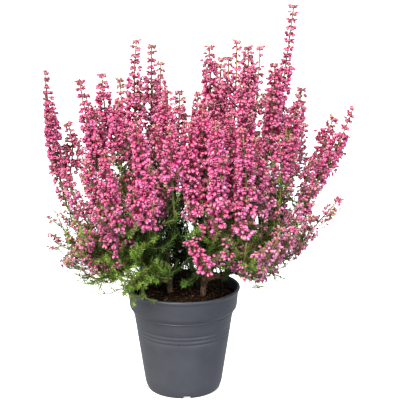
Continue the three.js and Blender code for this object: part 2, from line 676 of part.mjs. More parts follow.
// Every stem of the plant as a row of points, eased apart from the others
const limbOf = (name) => LIMBS.find((limb) => limb.name === name);
const limbChains = LIMBS.map((limb) => ({
  points: samplesOn(limbCurve(limb), SAMPLE_SPACING),
  limb: limb.name,
  footIndex: Infinity,
  solidRoom: LIMB_RADIUS + 0.4,
}));
const stemChains = LIMBS.flatMap(stemsOfLimb);
const spikeChains = SPIKES.map((row) => stemChains.find((chain) => chain.row === row));
const sideChains = spikeChains.filter((chain) => chain.row.side).map((chain) => {
  const joinIndex = chain.footIndex + 2;
  const { middle, tip } = chain.row.side;
  const curve = new THREE.CatmullRomCurve3(
    [chain.points[joinIndex], vector(middle), vector(tip)], false, 'centripetal');
  return {
    points: samplesOn(curve, SAMPLE_SPACING),
    footIndex: 0,
    limb: chain.limb,
    pinned: 1,
    leader: chain,
    joinIndex,
    row: chain.row.side,
  };
});
const chains = [...limbChains, ...stemChains, ...sideChains];
easeApart(chains);

// Whether needles at a place stay clear of every stem of another node
function roomForNeedles(place, own) {
  return chains.every((chain) => chain.points.every((point, i) => {
    const sameNode = chain.limb === own && i < chain.footIndex - 1 && !chain.solidRoom;
    return sameNode || place.distanceTo(point) > roomAt(chain, i) + NEEDLE_LENGTH * 1.15;
  }));
}

const part = new THREE.Group();

function addPiece(name, geometry, color, roughness) {
  geometry.computeVertexNormals();
  const material = new THREE.MeshStandardMaterial({ color, roughness, metalness: 0 });
  const mesh = new THREE.Mesh(geometry, material);
  mesh.name = name;
  part.add(mesh);
}

addPiece('pot', potGeometry(), POT_GREY, 0.5);
addPiece('soil', soilGeometry(), SOIL_BROWN, 0.95);
TRUNKS.forEach((trunk, index) => addPiece(trunk.name, woodyGeometry(index), BARK_BROWN, 0.85));

// Each spike and the leafy stem under it share one line, parted by the clearance
stemChains.forEach((chain) => {
  chain.line = new StemLine(chain.points);
  chain.flowerLength = chain.row.foot ? chain.line.distanceTo(chain.points[chain.footIndex]) : 0;
});

function leafyStems(limb, draw) {
  const room = (place) => roomForNeedles(place, limb.name);
  return stemChains.filter((chain) => chain.limb === limb.name).map((chain) => {
    const joints = stemChains.filter((other) => other.leader === chain)
      .map((other) => chain.line.distanceTo(other.points[0]));
    const from = chain.row.foot ? chain.flowerLength + CLEARANCE : 0;
    return leafyStem(chain.line, from, [...new Set(joints)], room, draw);
  });
}

LIMBS.forEach((limb, index) => {
  const stems = leafyStems(limb, seededDraws(100 + index));
  addPiece(`leafy_stems_${limb.name}`, toGeometry(joinAll(stems)), LEAF_GREEN, 0.6);
});

spikeChains.forEach((chain, index) => {
  const draw = seededDraws(500 + index);
  let spike = flowerSpike(chain.line, chain.flowerLength, chain.row.open, draw);
  const side = sideChains.find((other) => other.leader === chain);
  if (side) {
    const line = new StemLine(side.points);
    spike = joinAll([spike, flowerSpike(line, line.length, side.row.open, draw)]);
  }
  addPiece(`flower_spike_${String(index + 1).padStart(2, '0')}`, toGeometry(spike), FLOWER_PINK, 0.45);
});

export default part;
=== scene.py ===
# %% [markdown]
# # A potted cape heath
# This scene dresses the solids of a flowering cape heath in a nursery pot. The solids say where
# each stem and flower spike stands. The scene reads those places from them, and grows on them
# what a solid is too coarse for: thousands of small bells, needle leaves, twigs, bark and peat.
# All lengths are in millimetres until the moment a mesh is made, because a gardener thinks of a
# bell that is four millimetres long, and Blender's own unit is the metre.

import heapq
import math
from collections import namedtuple

import bpy
import numpy as np
from mathutils import Matrix, Vector, noise


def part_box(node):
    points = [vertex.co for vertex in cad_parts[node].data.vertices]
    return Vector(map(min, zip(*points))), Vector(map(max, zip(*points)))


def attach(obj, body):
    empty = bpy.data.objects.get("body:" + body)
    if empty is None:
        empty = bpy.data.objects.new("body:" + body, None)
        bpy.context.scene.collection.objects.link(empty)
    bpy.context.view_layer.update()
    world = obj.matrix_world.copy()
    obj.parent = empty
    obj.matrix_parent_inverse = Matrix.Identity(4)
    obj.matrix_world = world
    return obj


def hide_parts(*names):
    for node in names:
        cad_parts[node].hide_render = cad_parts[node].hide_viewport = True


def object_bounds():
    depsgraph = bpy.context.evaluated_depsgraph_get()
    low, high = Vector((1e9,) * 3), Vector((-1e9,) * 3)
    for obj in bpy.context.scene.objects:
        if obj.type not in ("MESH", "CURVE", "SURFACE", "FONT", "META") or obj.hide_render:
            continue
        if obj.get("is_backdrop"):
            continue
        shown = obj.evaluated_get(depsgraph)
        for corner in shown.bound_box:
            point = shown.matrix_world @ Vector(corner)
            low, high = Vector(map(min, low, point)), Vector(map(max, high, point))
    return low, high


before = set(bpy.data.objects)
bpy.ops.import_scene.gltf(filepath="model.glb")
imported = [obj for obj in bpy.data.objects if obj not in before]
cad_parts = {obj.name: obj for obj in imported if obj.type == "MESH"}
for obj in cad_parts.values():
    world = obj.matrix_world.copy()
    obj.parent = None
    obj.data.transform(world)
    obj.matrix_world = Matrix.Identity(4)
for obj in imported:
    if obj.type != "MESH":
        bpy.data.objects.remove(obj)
solids_low, solids_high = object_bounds()
METRE = 1000.0
box_low = np.array(solids_low) * METRE
box_high = np.array(solids_high) * METRE
print("solids from", box_low.round(1), "to", box_high.round(1), "mm")

# %% [markdown]
# ## Colours and nodes
# A colour is picked from the real thing on a screen, so it is written as an sRGB hex value.
# Blender's shaders count in linear light, so one function turns the first into the second.
# Another small function adds a node with its settings and links, which keeps each finish below
# short enough to read as a recipe.

# %% Colour and node helpers
# A mix node has sockets of one name for numbers, vectors and colours, so these say which
MIX_SHARE, MIX_FIRST, MIX_SECOND, MIXED = 0, 6, 7, 2
FULL_MULTIPLY = {"data_type": "RGBA", "blend_type": "MULTIPLY", "Factor": 1.0}


def linear(hex_colour):
    """An sRGB hex colour as the linear colour with alpha that the shaders want."""
    values = [int(hex_colour[i : i + 2], 16) / 255 for i in (1, 3, 5)]
    return (*[v / 12.92 if v <= 0.04045 else ((v + 0.055) / 1.055) ** 2.4 for v in values], 1.0)


def add_node(tree, kind, settings=None, links=None):
    """Adds a node. Settings name its own values or its sockets, and links give socket: output."""
    node = tree.nodes.new(kind)
    for name, value in (settings or {}).items():
        if hasattr(node, name):
            setattr(node, name, value)
        else:
            node.inputs[name].default_value = value
    for name, output in (links or {}).items():
        tree.links.new(output, node.inputs[name])
    return node


def set_ramp(node, stops):
    """Gives a colour ramp its stops, as (position, hex colour)."""
    ramp = node.color_ramp
    while len(ramp.elements) < len(stops):
        ramp.elements.new(0.5)
    for element, (position, colour) in zip(ramp.elements, stops, strict=True):
        element.position = position
        element.color = linear(colour)
    return node.outputs["Color"]


def new_finish(name, settings):
    """A material with one principled shader, and the parts of it that a recipe needs."""
    material = bpy.data.materials.new(name)
    material.use_nodes = True
    tree = material.node_tree
    tree.nodes.clear()
    shader = add_node(tree, "ShaderNodeBsdfPrincipled", settings)
    add_node(tree, "ShaderNodeOutputMaterial", links={"Surface": shader.outputs["BSDF"]})
    return material, tree, shader


def bump(tree, shader, height, depth_mm, strength=1.0):
    """Lets a height between 0 and 1 raise the surface by a depth in millimetres."""
    settings = {"Distance": depth_mm / METRE, "Strength": strength}
    node = add_node(tree, "ShaderNodeBump", settings, {"Height": height})
    tree.links.new(node.outputs["Normal"], shader.inputs["Normal"])


def per_metre(size_mm):
    """The scale of a pattern whose grains are that wide."""
    return METRE / size_mm


def by_shade(tree, stops):
    """The colour that a ramp gives each bell, leaf or crumb for its own shade."""
    shade = add_node(tree, "ShaderNodeAttribute", {"attribute_name": "shade"}).outputs["Fac"]
    return set_ramp(add_node(tree, "ShaderNodeValToRGB", links={"Fac": shade}), stops)


# %% [markdown]
# ## Many small parts in one mesh
# The plant has over twenty thousand bells and several times as many needles. As objects of their
# own they would swamp the scene, and instances are lost when a model is exported. So copies of
# one small pattern mesh are laid at all their places at once with array arithmetic, and joined
# in one mesh for each limb of the plant. Two numbers go with each corner: `shade`, the tint of
# its own bell or needle, and `along`, how far the corner lies from that part's root to its tip.
# The finish reads both, and they also unroll each part on a flat map.

# %% The tray that gathers small parts
MAP_NAME = "OFBake"
MAP_WIDTH = 0.03


class Tray:
    """Gathers many small parts, and makes them into one piece."""

    def __init__(self):
        self.corners, self.faces, self.marks, self.count = [], [], [], 0

    def add(self, corners, faces, marks):
        """Corners in mm, faces by corner, and for each corner its shade, along and around."""
        self.corners.append(corners)
        self.faces.append(faces + self.count)
        self.marks.append(marks)
        self.count += len(corners)

    def add_copies(self, corners, faces, marks):
        """Many parts with the same faces. Corners and marks come as (part, corner, value)."""
        steps = np.arange(len(corners)) * corners.shape[1]
        faces = (faces[None] + steps[:, None, None]).reshape(-1, 3)
        self.add(corners.reshape(-1, 3), faces, marks.reshape(-1, 3))

    def lay(self, pattern, places, turns, sizes, shades):
        """Lays a copy of the pattern at each place, turned, scaled and tinted."""
        if not len(places):
            return
        shape, faces, along, around = pattern
        laid = np.einsum("nij,vj,n->nvi", turns, shape, sizes) + places[:, None, :]
        marks = np.empty((len(places), len(shape), 3))
        marks[..., 0] = np.asarray(shades)[:, None]
        marks[..., 1] = along
        marks[..., 2] = around
        self.add_copies(laid, faces, marks)

    def piece(self, name, finish, slot, nodes=()):
        """One smooth object of all that was gathered, which rides on the part."""
        corners = np.concatenate(self.corners) / METRE
        faces = np.concatenate(self.faces)
        marks = np.concatenate(self.marks)
        made = mesh_piece(name, corners, faces, finish, nodes)
        mesh = made.data
        for k, mark in enumerate(("shade", "along")):
            values = np.ascontiguousarray(marks[:, k], np.float32)
            mesh.attributes.new(mark, "FLOAT", "POINT").data.foreach_set("value", values)
        places = np.column_stack([marks[:, 0] + MAP_WIDTH * marks[:, 2], marks[:, 1]])
        places = places.clip(0, 1)[faces.ravel()]
        mesh.uv_layers.new(name=MAP_NAME).data.foreach_set("uv", places.astype(np.float32).ravel())
        return made


def mesh_piece(name, corners, faces, finish, nodes=()):
    """One smooth object from corners in metres and faces of three or four corners."""
    sides = len(faces[0])
    mesh = bpy.data.meshes.new(name)
    mesh.vertices.add(len(corners))
    mesh.vertices.foreach_set("co", np.ascontiguousarray(corners, np.float32).ravel())
    mesh.loops.add(len(faces) * sides)
    mesh.loops.foreach_set("vertex_index", np.ascontiguousarray(faces, np.int32).ravel())
    mesh.polygons.add(len(faces))
    mesh.polygons.foreach_set("loop_start", np.arange(0, len(faces) * sides, sides, dtype=np.int32))
    mesh.polygons.foreach_set("use_smooth", np.ones(len(faces), bool))
    mesh.update(calc_edges=True)
    mesh.validate()
    mesh.materials.append(finish)
    made = bpy.data.objects.new(name, mesh)
    bpy.context.scene.collection.objects.link(made)
    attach(made, "root")
    if nodes:
        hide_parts(*nodes)
    triangles_made[name] = len(faces) * (sides - 2)
    return made


triangles_made = {}

# %% [markdown]
# ## Stem lines
# Every stem, twig and spike follows a centre line. The line is kept as evenly spaced places with
# a direction along it and two across it, so that whorls of leaves or bells can be set round it
# at any distance from its foot. The directions across are carried from place to place without
# twist, or the whorls would swirl where the stem bends.

# %% A stem's centre line
LINE_STEP = 2.0
UP = np.array([0.0, 0.0, 1.0])


def unit(vectors):
    return vectors / np.maximum(np.linalg.norm(vectors, axis=-1, keepdims=True), 1e-9)


class StemLine:
    """A centre line, measured from its foot."""

    def __init__(self, places, spacing=LINE_STEP):
        places = np.asarray(places, float)
        steps = np.linalg.norm(np.diff(places, axis=0), axis=1)
        travelled = np.concatenate([[0], np.cumsum(steps)])
        self.length = travelled[-1]
        self.marks = np.linspace(0, self.length, max(3, round(self.length / spacing) + 1))
        self.places = self.read(self.marks, travelled, places)
        self.ways = unit(np.gradient(self.places, axis=0))
        side = np.array([0.0, 1.0, 0.0]) if abs(self.ways[0][1]) < 0.9 else np.array([1.0, 0, 0])
        sides = []
        for way in self.ways:
            side = unit(side - way * side.dot(way))
            sides.append(side)
        self.sides = np.array(sides)

    @staticmethod
    def read(distances, marks, values):
        return np.column_stack([np.interp(distances, marks, values[:, k]) for k in range(3)])

    def at(self, distances):
        """Places, the ways along the stem, and two directions across it, at some distances."""
        distances = np.atleast_1d(distances)
        place = self.read(distances, self.marks, self.places)
        way = unit(self.read(distances, self.marks, self.ways))
        side = self.read(distances, self.marks, self.sides)
        side = unit(side - way * (side * way).sum(1, keepdims=True))
        return place, way, side, np.cross(way, side)

    def outwards(self, distance, angle):
        """The place at a distance, the way along the stem, and a way out of it at an angle."""
        place, way, side, across = (found[0] for found in self.at(distance))
        return place, way, side * math.cos(angle) + across * math.sin(angle)


def eased(places, rounds):
    """Smooths a row of places and leaves its ends where they are."""
    places = np.array(places, float)
    for _ in range(rounds):
        places[1:-1] = (places[:-2] + 2 * places[1:-1] + places[2:]) / 4
    return places


# %% [markdown]
# ## Reading the plant from the solids
# The solid of a flower spike has its bells evenly round its stem, so a smooth curve fitted
# through all its corners runs down the middle of it. A leafy stem is thin and branched, and
# there the shortest way along the solid's own edges follows the stem from its foot to any tip.
# Both ways need no list of places in this file, and stay right if the solids change.

# %% Corners, edges and ways along them


def corners_and_edges(node):
    """The corners of a solid in mm, each once, and the corners that its edges join to each."""
    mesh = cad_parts[node].data
    places = np.empty(len(mesh.vertices) * 3)
    mesh.vertices.foreach_get("co", places)
    places, index = np.unique(places.reshape(-1, 3).round(6), axis=0, return_inverse=True)
    ends = np.empty(len(mesh.edges) * 2, np.int32)
    mesh.edges.foreach_get("vertices", ends)
    joined = [set() for _ in places]
    for a, b in index.ravel()[ends].reshape(-1, 2):
        joined[a].add(b)
        joined[b].add(a)
    return places * METRE, joined


def ways_from(start, places, joined):
    """For each corner, how far it is from the start along the edges, and the corner before it."""
    far = np.full(len(places), np.inf)
    before = np.full(len(places), -1)
    far[start] = 0
    waiting = [(0.0, start)]
    while waiting:
        distance, corner = heapq.heappop(waiting)
        if distance > far[corner]:
            continue
        for other in joined[corner]:
            further = distance + np.linalg.norm(places[other] - places[corner])
            if further < far[other]:
                far[other], before[other] = further, corner
                heapq.heappush(waiting, (further, other))
    return far, before


def way_to(corner, places, before):
    """The places on the shortest way to a corner, evenly spaced and smoothed."""
    steps = [corner]
    while before[steps[-1]] >= 0:
        steps.append(before[steps[-1]])
    rough = StemLine(places[steps[::-1]])
    return eased(rough.places, 12)


def gaps_to(places, row):
    """How far each place is from the nearest one in a row."""
    return np.sqrt(((places[:, None] - row[None]) ** 2).sum(2)).min(1)


# %% [markdown]
# A spike may be forked. Then some of its corners lie too far from its main line to be bells of
# that line, and they get a middle line of their own.

# %% The lines of the flower spikes
SPIKE_REACH = 10.5
SIDE_SPIKE_CORNERS = 12


def middle_line(corners, tip):
    """A cubic that ends at the tip and runs down the middle of a spike's corners."""
    way = unit(tip - corners.mean(0))
    depth = (corners - tip) @ way
    powers = np.column_stack([depth, depth**2, depth**3])
    aside = corners - tip - depth[:, None] * way
    bend = np.linalg.lstsq(powers, aside, rcond=None)[0]
    row = np.linspace(depth.min(), 0, 24)
    return StemLine(tip + row[:, None] * way + np.column_stack([row, row**2, row**3]) @ bend)


def spike_lines(node):
    """The centre line of a spike, and of the side spike if it is forked."""
    corners, joined = corners_and_edges(node)
    tip = corners[corners[:, 2].argmax()]
    far, before = ways_from(corners[:, 2].argmin(), corners, joined)
    main_way = way_to(corners[:, 2].argmax(), corners, before)
    aside = gaps_to(corners, main_way) > SPIKE_REACH
    if aside.sum() < SIDE_SPIKE_CORNERS:
        return [middle_line(corners, tip)]
    side_tip = np.where(aside, far, 0).argmax()
    side_way = way_to(side_tip, corners, before)
    on_side = gaps_to(corners, side_way) < gaps_to(corners, main_way)
    side_line = middle_line(corners[on_side], corners[side_tip])
    return [middle_line(corners[~on_side], tip), side_line]


all_nodes = sorted(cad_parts)
spike_names = [name for name in all_nodes if name.startswith("flower_spike")]
leafy_names = [name for name in all_nodes if name.startswith("leafy_stems")]
woody_names = [name for name in all_nodes if name.startswith("woody_stem")]
spikes = {name: spike_lines(name) for name in spike_names}
print(len(spikes), "spikes with", sum(len(lines) for lines in spikes.values()), "lines")

# %% [markdown]
# A limb's solid is a branched fan. One way is traced to the foot of each spike it carries, and
# then one to the farthest corner that no way has reached yet, until none is left. Those last
# ones are the green shoots without flowers.

# %% The lines of the leafy stems
NEEDLE_REACH = 7.5


def leafy_lines(node, feet):
    """The stems from a limb's end to the feet of its spikes, then the shoots without flowers."""
    corners, joined = corners_and_edges(node)
    start = gaps_to(corners, woody_corners).argmin()
    far, before = ways_from(start, corners, joined)
    lines = []
    for foot in feet:
        nearest = np.linalg.norm(corners - foot, axis=1).argmin()
        lines.append(StemLine(np.vstack([way_to(nearest, corners, before), foot])))
    shoots = []
    reached = np.vstack([line.places for line in lines])
    while True:
        left = np.where(gaps_to(corners, reached) > NEEDLE_REACH, far, 0)
        if left.max() == 0:
            return lines, shoots
        shoots.append(StemLine(way_to(left.argmax(), corners, before)))
        reached = np.vstack([reached, shoots[-1].places])


woody_corners = np.vstack([corners_and_edges(name)[0] for name in woody_names])
leafy_corners = {name: corners_and_edges(name)[0] for name in leafy_names}
limb_spikes = {name: [] for name in leafy_names}
for spike, lines in spikes.items():
    foot = lines[0].places[:1]
    nearest_limb = min(leafy_names, key=lambda name: gaps_to(foot, leafy_corners[name])[0])
    limb_spikes[nearest_limb].append(spike)
limb_stems, limb_shoots = {}, {}
for name in leafy_names:
    feet = [spikes[spike][0].places[0] for spike in limb_spikes[name]]
    limb_stems[name], limb_shoots[name] = leafy_lines(name, feet)
print(sum(map(len, limb_stems.values())), "leafy stems")
print(sum(map(len, limb_shoots.values())), "shoots without flowers")

# %% [markdown]
# ## The camera
# The photograph looks down on the pot: its round rim is drawn as an ellipse about three times as
# wide as it is high, which gives the camera's height for its distance. The lens follows from the
# rim's width, and a long lens from a metre away keeps the sides of the pot almost parallel.

# %% The camera of the photograph
PICTURE_SIDE = 400
LENS_PIXELS = 987.7
SENSOR_MM = 36.0
CAMERA_PLACE = (17.6, -1000.0, 427.5)
CAMERA_DOWN = 12.59

camera_data = bpy.data.cameras.new("camera")
camera_data.sensor_width = SENSOR_MM
camera_data.lens = SENSOR_MM * LENS_PIXELS / PICTURE_SIDE
camera = bpy.data.objects.new("camera", camera_data)
camera.location = Vector(CAMERA_PLACE) / METRE
camera.rotation_euler = (math.radians(90 - CAMERA_DOWN), 0, 0)
bpy.context.scene.collection.objects.link(camera)
bpy.context.scene.camera = camera
print("lens", round(camera_data.lens, 1), "mm")

# %% [markdown]
# ## Light and floor
# The plant was photographed in a white studio. The main light comes from high on the left of the
# camera and puts a small bright spot on each bell. A weaker and cooler one on the right keeps the
# shaded sides open, and a third lights the tops from behind. Sun lamps stand in for the studio's
# big soft boxes, since they light the whole floor evenly, and their wide discs give soft shadows.
# The floor is the lit white table of such a studio: it glows a little by itself, which washes out
# the shadow. It gives the plant no light from below and isn't seen in the gloss of the pot.

# %% The studio
FLOOR_SIDE = 180.0


def studio_lamp(name, from_way, strength, disc_degrees, colour):
    """A soft light that comes from a direction."""
    data = bpy.data.lights.new(name, "SUN")
    data.energy = strength
    data.angle = math.radians(disc_degrees)
    data.color = linear(colour)[:3]
    lamp = bpy.data.objects.new(name, data)
    lamp.rotation_euler = Vector(from_way).to_track_quat("Z", "Y").to_euler()
    bpy.context.scene.collection.objects.link(lamp)
    return lamp


studio_lamp("key_lamp", (-0.55, -0.9, 1.2), 5.0, 44, "#fffaf2")
studio_lamp("fill_lamp", (0.9, -1.0, 0.6), 1.4, 40, "#dde6ff")
studio_lamp("back_lamp", (0.2, 1.0, 1.1), 2.2, 30, "#ffffff")

world = bpy.data.worlds.new("studio")
bpy.context.scene.world = world
world.use_nodes = True
world.node_tree.nodes["Background"].inputs["Color"].default_value = linear("#f7f9ff")
world.node_tree.nodes["Background"].inputs["Strength"].default_value = 0.5
bpy.context.scene.view_settings.view_transform = "Standard"

# A matt white sheet lit from below. Its faint mottle is far too weak to see in the picture.
paper, tree, shader = new_finish("lit white table", {"Roughness": 0.9, "Emission Strength": 0.7})
mottle = add_node(tree, "ShaderNodeTexNoise", {"Scale": 3.0, "Detail": 2.0})
ramp = add_node(tree, "ShaderNodeValToRGB", links={"Fac": mottle.outputs["Fac"]})
table_white = set_ramp(ramp, [(0.3, "#fafafa"), (0.7, "#ffffff")])
tree.links.new(table_white, shader.inputs["Base Color"])
tree.links.new(table_white, shader.inputs["Emission Color"])

floor_mesh = bpy.data.meshes.new("floor")
half = FLOOR_SIDE / 2
floor_corners = [(-half, -half, 0), (half, -half, 0), (half, half, 0), (-half, half, 0)]
floor_mesh.from_pydata(floor_corners, [], [(0, 1, 2, 3)])
floor_mesh.materials.append(paper)
floor = bpy.data.objects.new("floor", floor_mesh)
floor.visible_diffuse = False
floor.visible_glossy = False
bpy.context.scene.collection.objects.link(floor)
floor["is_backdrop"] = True

# %% [markdown]
# ## The pot
# A nursery pot is blown or moulded from a thin sheet of grey polypropylene. Its outline is one
# line turned round an axis, so the mesh is that line swept round in many steps. The mould leaves
# a rolled lip, a collar that stacks on the next pot, three shallow grooves, and four notches in
# the foot that let water out. Corners of the line are rounded, because no moulded edge is sharp,
# and each rounding catches its own thin line of light.

# %% The pot's outline
pot_high = np.array(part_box("pot")[1]) * METRE
LIP_RADIUS = pot_high[0]
POT_HEIGHT = pot_high[2]
GROOVE_HEIGHTS = (71.2, 66.8, 62.3)
GROOVE_DEPTH = 0.6
GROOVE_HALF_WIDTH = 1.6
GROOVE_ROWS = (-1, -0.66, -0.33, 0, 0.33, 0.66, 1)
NOTCH_COUNT = 4
NOTCH_TURN = 0.11
NOTCH_WIDTH = 7.5
NOTCH_HEIGHT = 2.4
BASE_RADIUS = 37.6
POT_STEPS = 112

# (radius, height, rounding) from the middle of the underside, up the outside and down the inside
POT_CORNERS = [
    (0, 0.5, 0),
    (BASE_RADIUS - 5, 0.5, 1),
    (BASE_RADIUS - 3, 0, 0.5),
    (BASE_RADIUS + 0.9, 0, 1.0),
    (41.0, 6.5, 3.5),
    (52.4, 83.9, 0.5),
    (53.4, 85.2, 0.4),
    (53.4, 85.8, 0.3),
    (53.0, 86.2, 0.15),
    (56.7, 90.4, 1.8),
    (58.3, 107.6, 1.2),
    (LIP_RADIUS, 109.8, 0.7),
    (LIP_RADIUS, POT_HEIGHT, 1.1),
    (57.5, POT_HEIGHT, 0.5),
    (56.7, 108.0, 1.0),
    (55.0, 89.4, 1.0),
    (50.3, 85.0, 1.0),
    (39.2, 6.0, 2.5),
    (BASE_RADIUS - 1, 1.9, 1.0),
    (0, 1.9, 0),
]


def rounded(corners, steps=3):
    """Replaces each corner of an outline by a short curve of its own rounding."""
    flat = np.array([corner[:2] for corner in corners], float)
    made = [flat[0]]
    for k in range(1, len(flat) - 1):
        reach = corners[k][2]
        start = flat[k] + unit(flat[k - 1] - flat[k]) * reach
        end = flat[k] + unit(flat[k + 1] - flat[k]) * reach
        for t in np.linspace(0, 1, steps):
            made.append((1 - t) ** 2 * start + 2 * t * (1 - t) * flat[k] + t**2 * end)
    made.append(flat[-1])
    return np.array(made)


outline = rounded(POT_CORNERS)
wall_start = int(np.argmax(np.diff(outline[: len(outline) // 2, 1])))
# The wall is straight, so it needs extra rows only where the grooves are cut, and a few between
groove_rows = [h + row * GROOVE_HALF_WIDTH for h in GROOVE_HEIGHTS for row in GROOVE_ROWS]
extra_rows = np.array(sorted([*np.linspace(16, 56, 4), *groove_rows, 76.5]))
foot, head = outline[wall_start], outline[wall_start + 1]
wall_radii = np.interp(extra_rows, [foot[1], head[1]], [foot[0], head[0]])
wall = np.column_stack([wall_radii, extra_rows])
outline = np.vstack([outline[: wall_start + 1], wall, outline[wall_start + 1 :]])
print(len(outline), "points on the pot's outline")

# %% [markdown]
# A screw modifier could turn the outline, but the notches would then need cuts, and a cut leaves
# long thin faces. Here the grid is bent before it becomes a mesh: the grooves draw the outer wall
# in, and between the edges of a notch the foot is lifted off the ground.

# %% The pot turned round its axis
NOTCH_EDGE_TURN = 0.004
notch_half = math.asin(NOTCH_WIDTH / 2 / BASE_RADIUS)
angles = list(np.linspace(0, 2 * math.pi, POT_STEPS, endpoint=False))
first_notch = NOTCH_TURN - math.pi / 2
notch_middles = [first_notch + k * 2 * math.pi / NOTCH_COUNT for k in range(NOTCH_COUNT)]
for middle in notch_middles:
    for edge in (middle - notch_half, middle + notch_half):
        beside_edge = (edge - NOTCH_EDGE_TURN, edge + NOTCH_EDGE_TURN)
        angles += [angle % (2 * math.pi) for angle in beside_edge]
angles = np.array(sorted(angles))
from_middle = np.min(
    [np.abs((angles - middle + math.pi) % (2 * math.pi) - math.pi) for middle in notch_middles], 0
)
in_notch = from_middle < notch_half

radii, heights = np.meshgrid(outline[:, 0], angles)[0], np.tile(outline[:, 1], (len(angles), 1))
outside = np.arange(len(outline)) < len(outline) / 2
for height in GROOVE_HEIGHTS:
    reach = np.clip(1 - ((heights - height) / GROOVE_HALF_WIDTH) ** 2, 0, 1) ** 1.5
    radii = radii - GROOVE_DEPTH * reach * outside
raised = in_notch[:, None] & (heights < NOTCH_HEIGHT) & (radii > BASE_RADIUS - 8)
heights = np.where(raised, NOTCH_HEIGHT + 0.12 * heights, heights)
pot_corners = np.stack(
    [radii * np.cos(angles)[:, None], radii * np.sin(angles)[:, None], heights], -1
).reshape(-1, 3)


def grid_faces(columns, rows):
    """Four-cornered faces between neighbouring columns, the last one joined to the first."""
    column = np.arange(columns)[:, None] * rows + np.arange(rows - 1)[None]
    after = np.roll(np.arange(columns), -1)[:, None] * rows + np.arange(rows - 1)[None]
    return np.stack([column, after, after + 1, column + 1], -1).reshape(-1, 4)


# %% [markdown]
# The sheet is polypropylene with soot-grey colour in it. Straight from the mould it is satin, with
# a grain finer than a hair, and handling leaves it a little uneven: some patches are shinier, a
# few carry dried dust. The grain is drawn at 0.5 mm, coarser than the real one, or it would not
# show at all. Roughness near 0.3 gives the broad soft shine of such plastic.

# %% Moulded polypropylene
plastic, tree, shader = new_finish(
    "moulded grey polypropylene", {"IOR": 1.49, "Specular IOR Level": 0.42}
)
where = add_node(tree, "ShaderNodeTexCoord").outputs["Object"]
patches = add_node(
    tree, "ShaderNodeTexNoise", {"Scale": per_metre(26), "Detail": 4.0}, {"Vector": where}
)
ramp = add_node(tree, "ShaderNodeValToRGB", links={"Fac": patches.outputs["Fac"]})
grey = set_ramp(ramp, [(0.3, "#484a51"), (0.7, "#515359")])
dust = add_node(
    tree, "ShaderNodeTexNoise", {"Scale": per_metre(1.6), "Detail": 3.0}, {"Vector": where}
)
dust_mask = add_node(
    tree,
    "ShaderNodeMapRange",
    {"From Min": 0.68, "From Max": 0.8, "To Max": 0.35},
    {"Value": dust.outputs["Fac"]},
)
dust_links = {MIX_SHARE: dust_mask.outputs["Result"], MIX_FIRST: grey}
dusty = add_node(tree, "ShaderNodeMix", {"data_type": "RGBA"}, dust_links)
dusty.inputs[MIX_SECOND].default_value = linear("#77726b")
tree.links.new(dusty.outputs[MIXED], shader.inputs["Base Color"])
gloss = add_node(
    tree,
    "ShaderNodeMapRange",
    {"From Min": 0.3, "From Max": 0.7, "To Min": 0.27, "To Max": 0.37},
    {"Value": patches.outputs["Fac"]},
)
tree.links.new(gloss.outputs["Result"], shader.inputs["Roughness"])
grain = add_node(
    tree, "ShaderNodeTexNoise", {"Scale": per_metre(0.5), "Detail": 2.0}, {"Vector": where}
)
bump(tree, shader, grain.outputs["Fac"], 0.02, 0.5)

mesh_piece(
    "pot_shell", pot_corners / METRE, grid_faces(len(angles), len(outline)), plastic, ["pot"]
)
print("pot", triangles_made["pot_shell"], "triangles")

# %% [markdown]
# ## The soil
# Heaths grow in peat: dark, springy, half rotted moss with crumbs of all sizes and pale threads of
# root and moss fibre in it. The top is a grid raised by noise. Real crumbs and fibres lie on it as
# small meshes, because a bump alone has no shadows of its own and looks painted from the side.

# %% The soil's body
SOIL_EDGE = 102.0
SOIL_CROWN = 4.0
SOIL_RADIUS = 56.0
SOIL_SINK = 0.4
LUMP_SIZE, SMALL_LUMP_SIZE = 9.0, 3.1
SOIL_STEPS = 110


def soil_top(x, y):
    """The height of the peat at a place, with its lumps."""
    share = min(1.0, math.hypot(x, y) / SOIL_RADIUS)
    crown = SOIL_EDGE + SOIL_CROWN * (1 - share**2)
    lumps = 1.5 * noise.noise(Vector((x, y, 0)) / LUMP_SIZE)
    small_lumps = 0.9 * noise.noise(Vector((x, y, 7)) / SMALL_LUMP_SIZE)
    return crown + (lumps + small_lumps) - SOIL_SINK


# The top is at the height of the peat, and the rows after it are the sides and the underside
soil_rows = [(r, None) for r in np.linspace(0, SOIL_RADIUS, 34)]
soil_rows += [(54.6, 91.0), (54.0, 89.0), (50.0, 84.0), (39.0, 8.0), (34.0, 2.2), (0.0, 2.2)]
soil_points = []
soil_angles = np.linspace(0, 2 * math.pi, SOIL_STEPS, endpoint=False)
for angle in soil_angles:
    for radius, height in soil_rows:
        x, y = radius * math.cos(angle), radius * math.sin(angle)
        soil_points.append((x, y, soil_top(x, y) if height is None else height))
soil_points = np.array(soil_points)
soil_faces = grid_faces(SOIL_STEPS, len(soil_rows))[:, ::-1]

# %% [markdown]
# Damp peat is nearly black and gives no shine. Its colour changes from crumb to crumb, from soot
# to a red brown, so a ramp reads noise at the size of the crumbs, two millimetres.

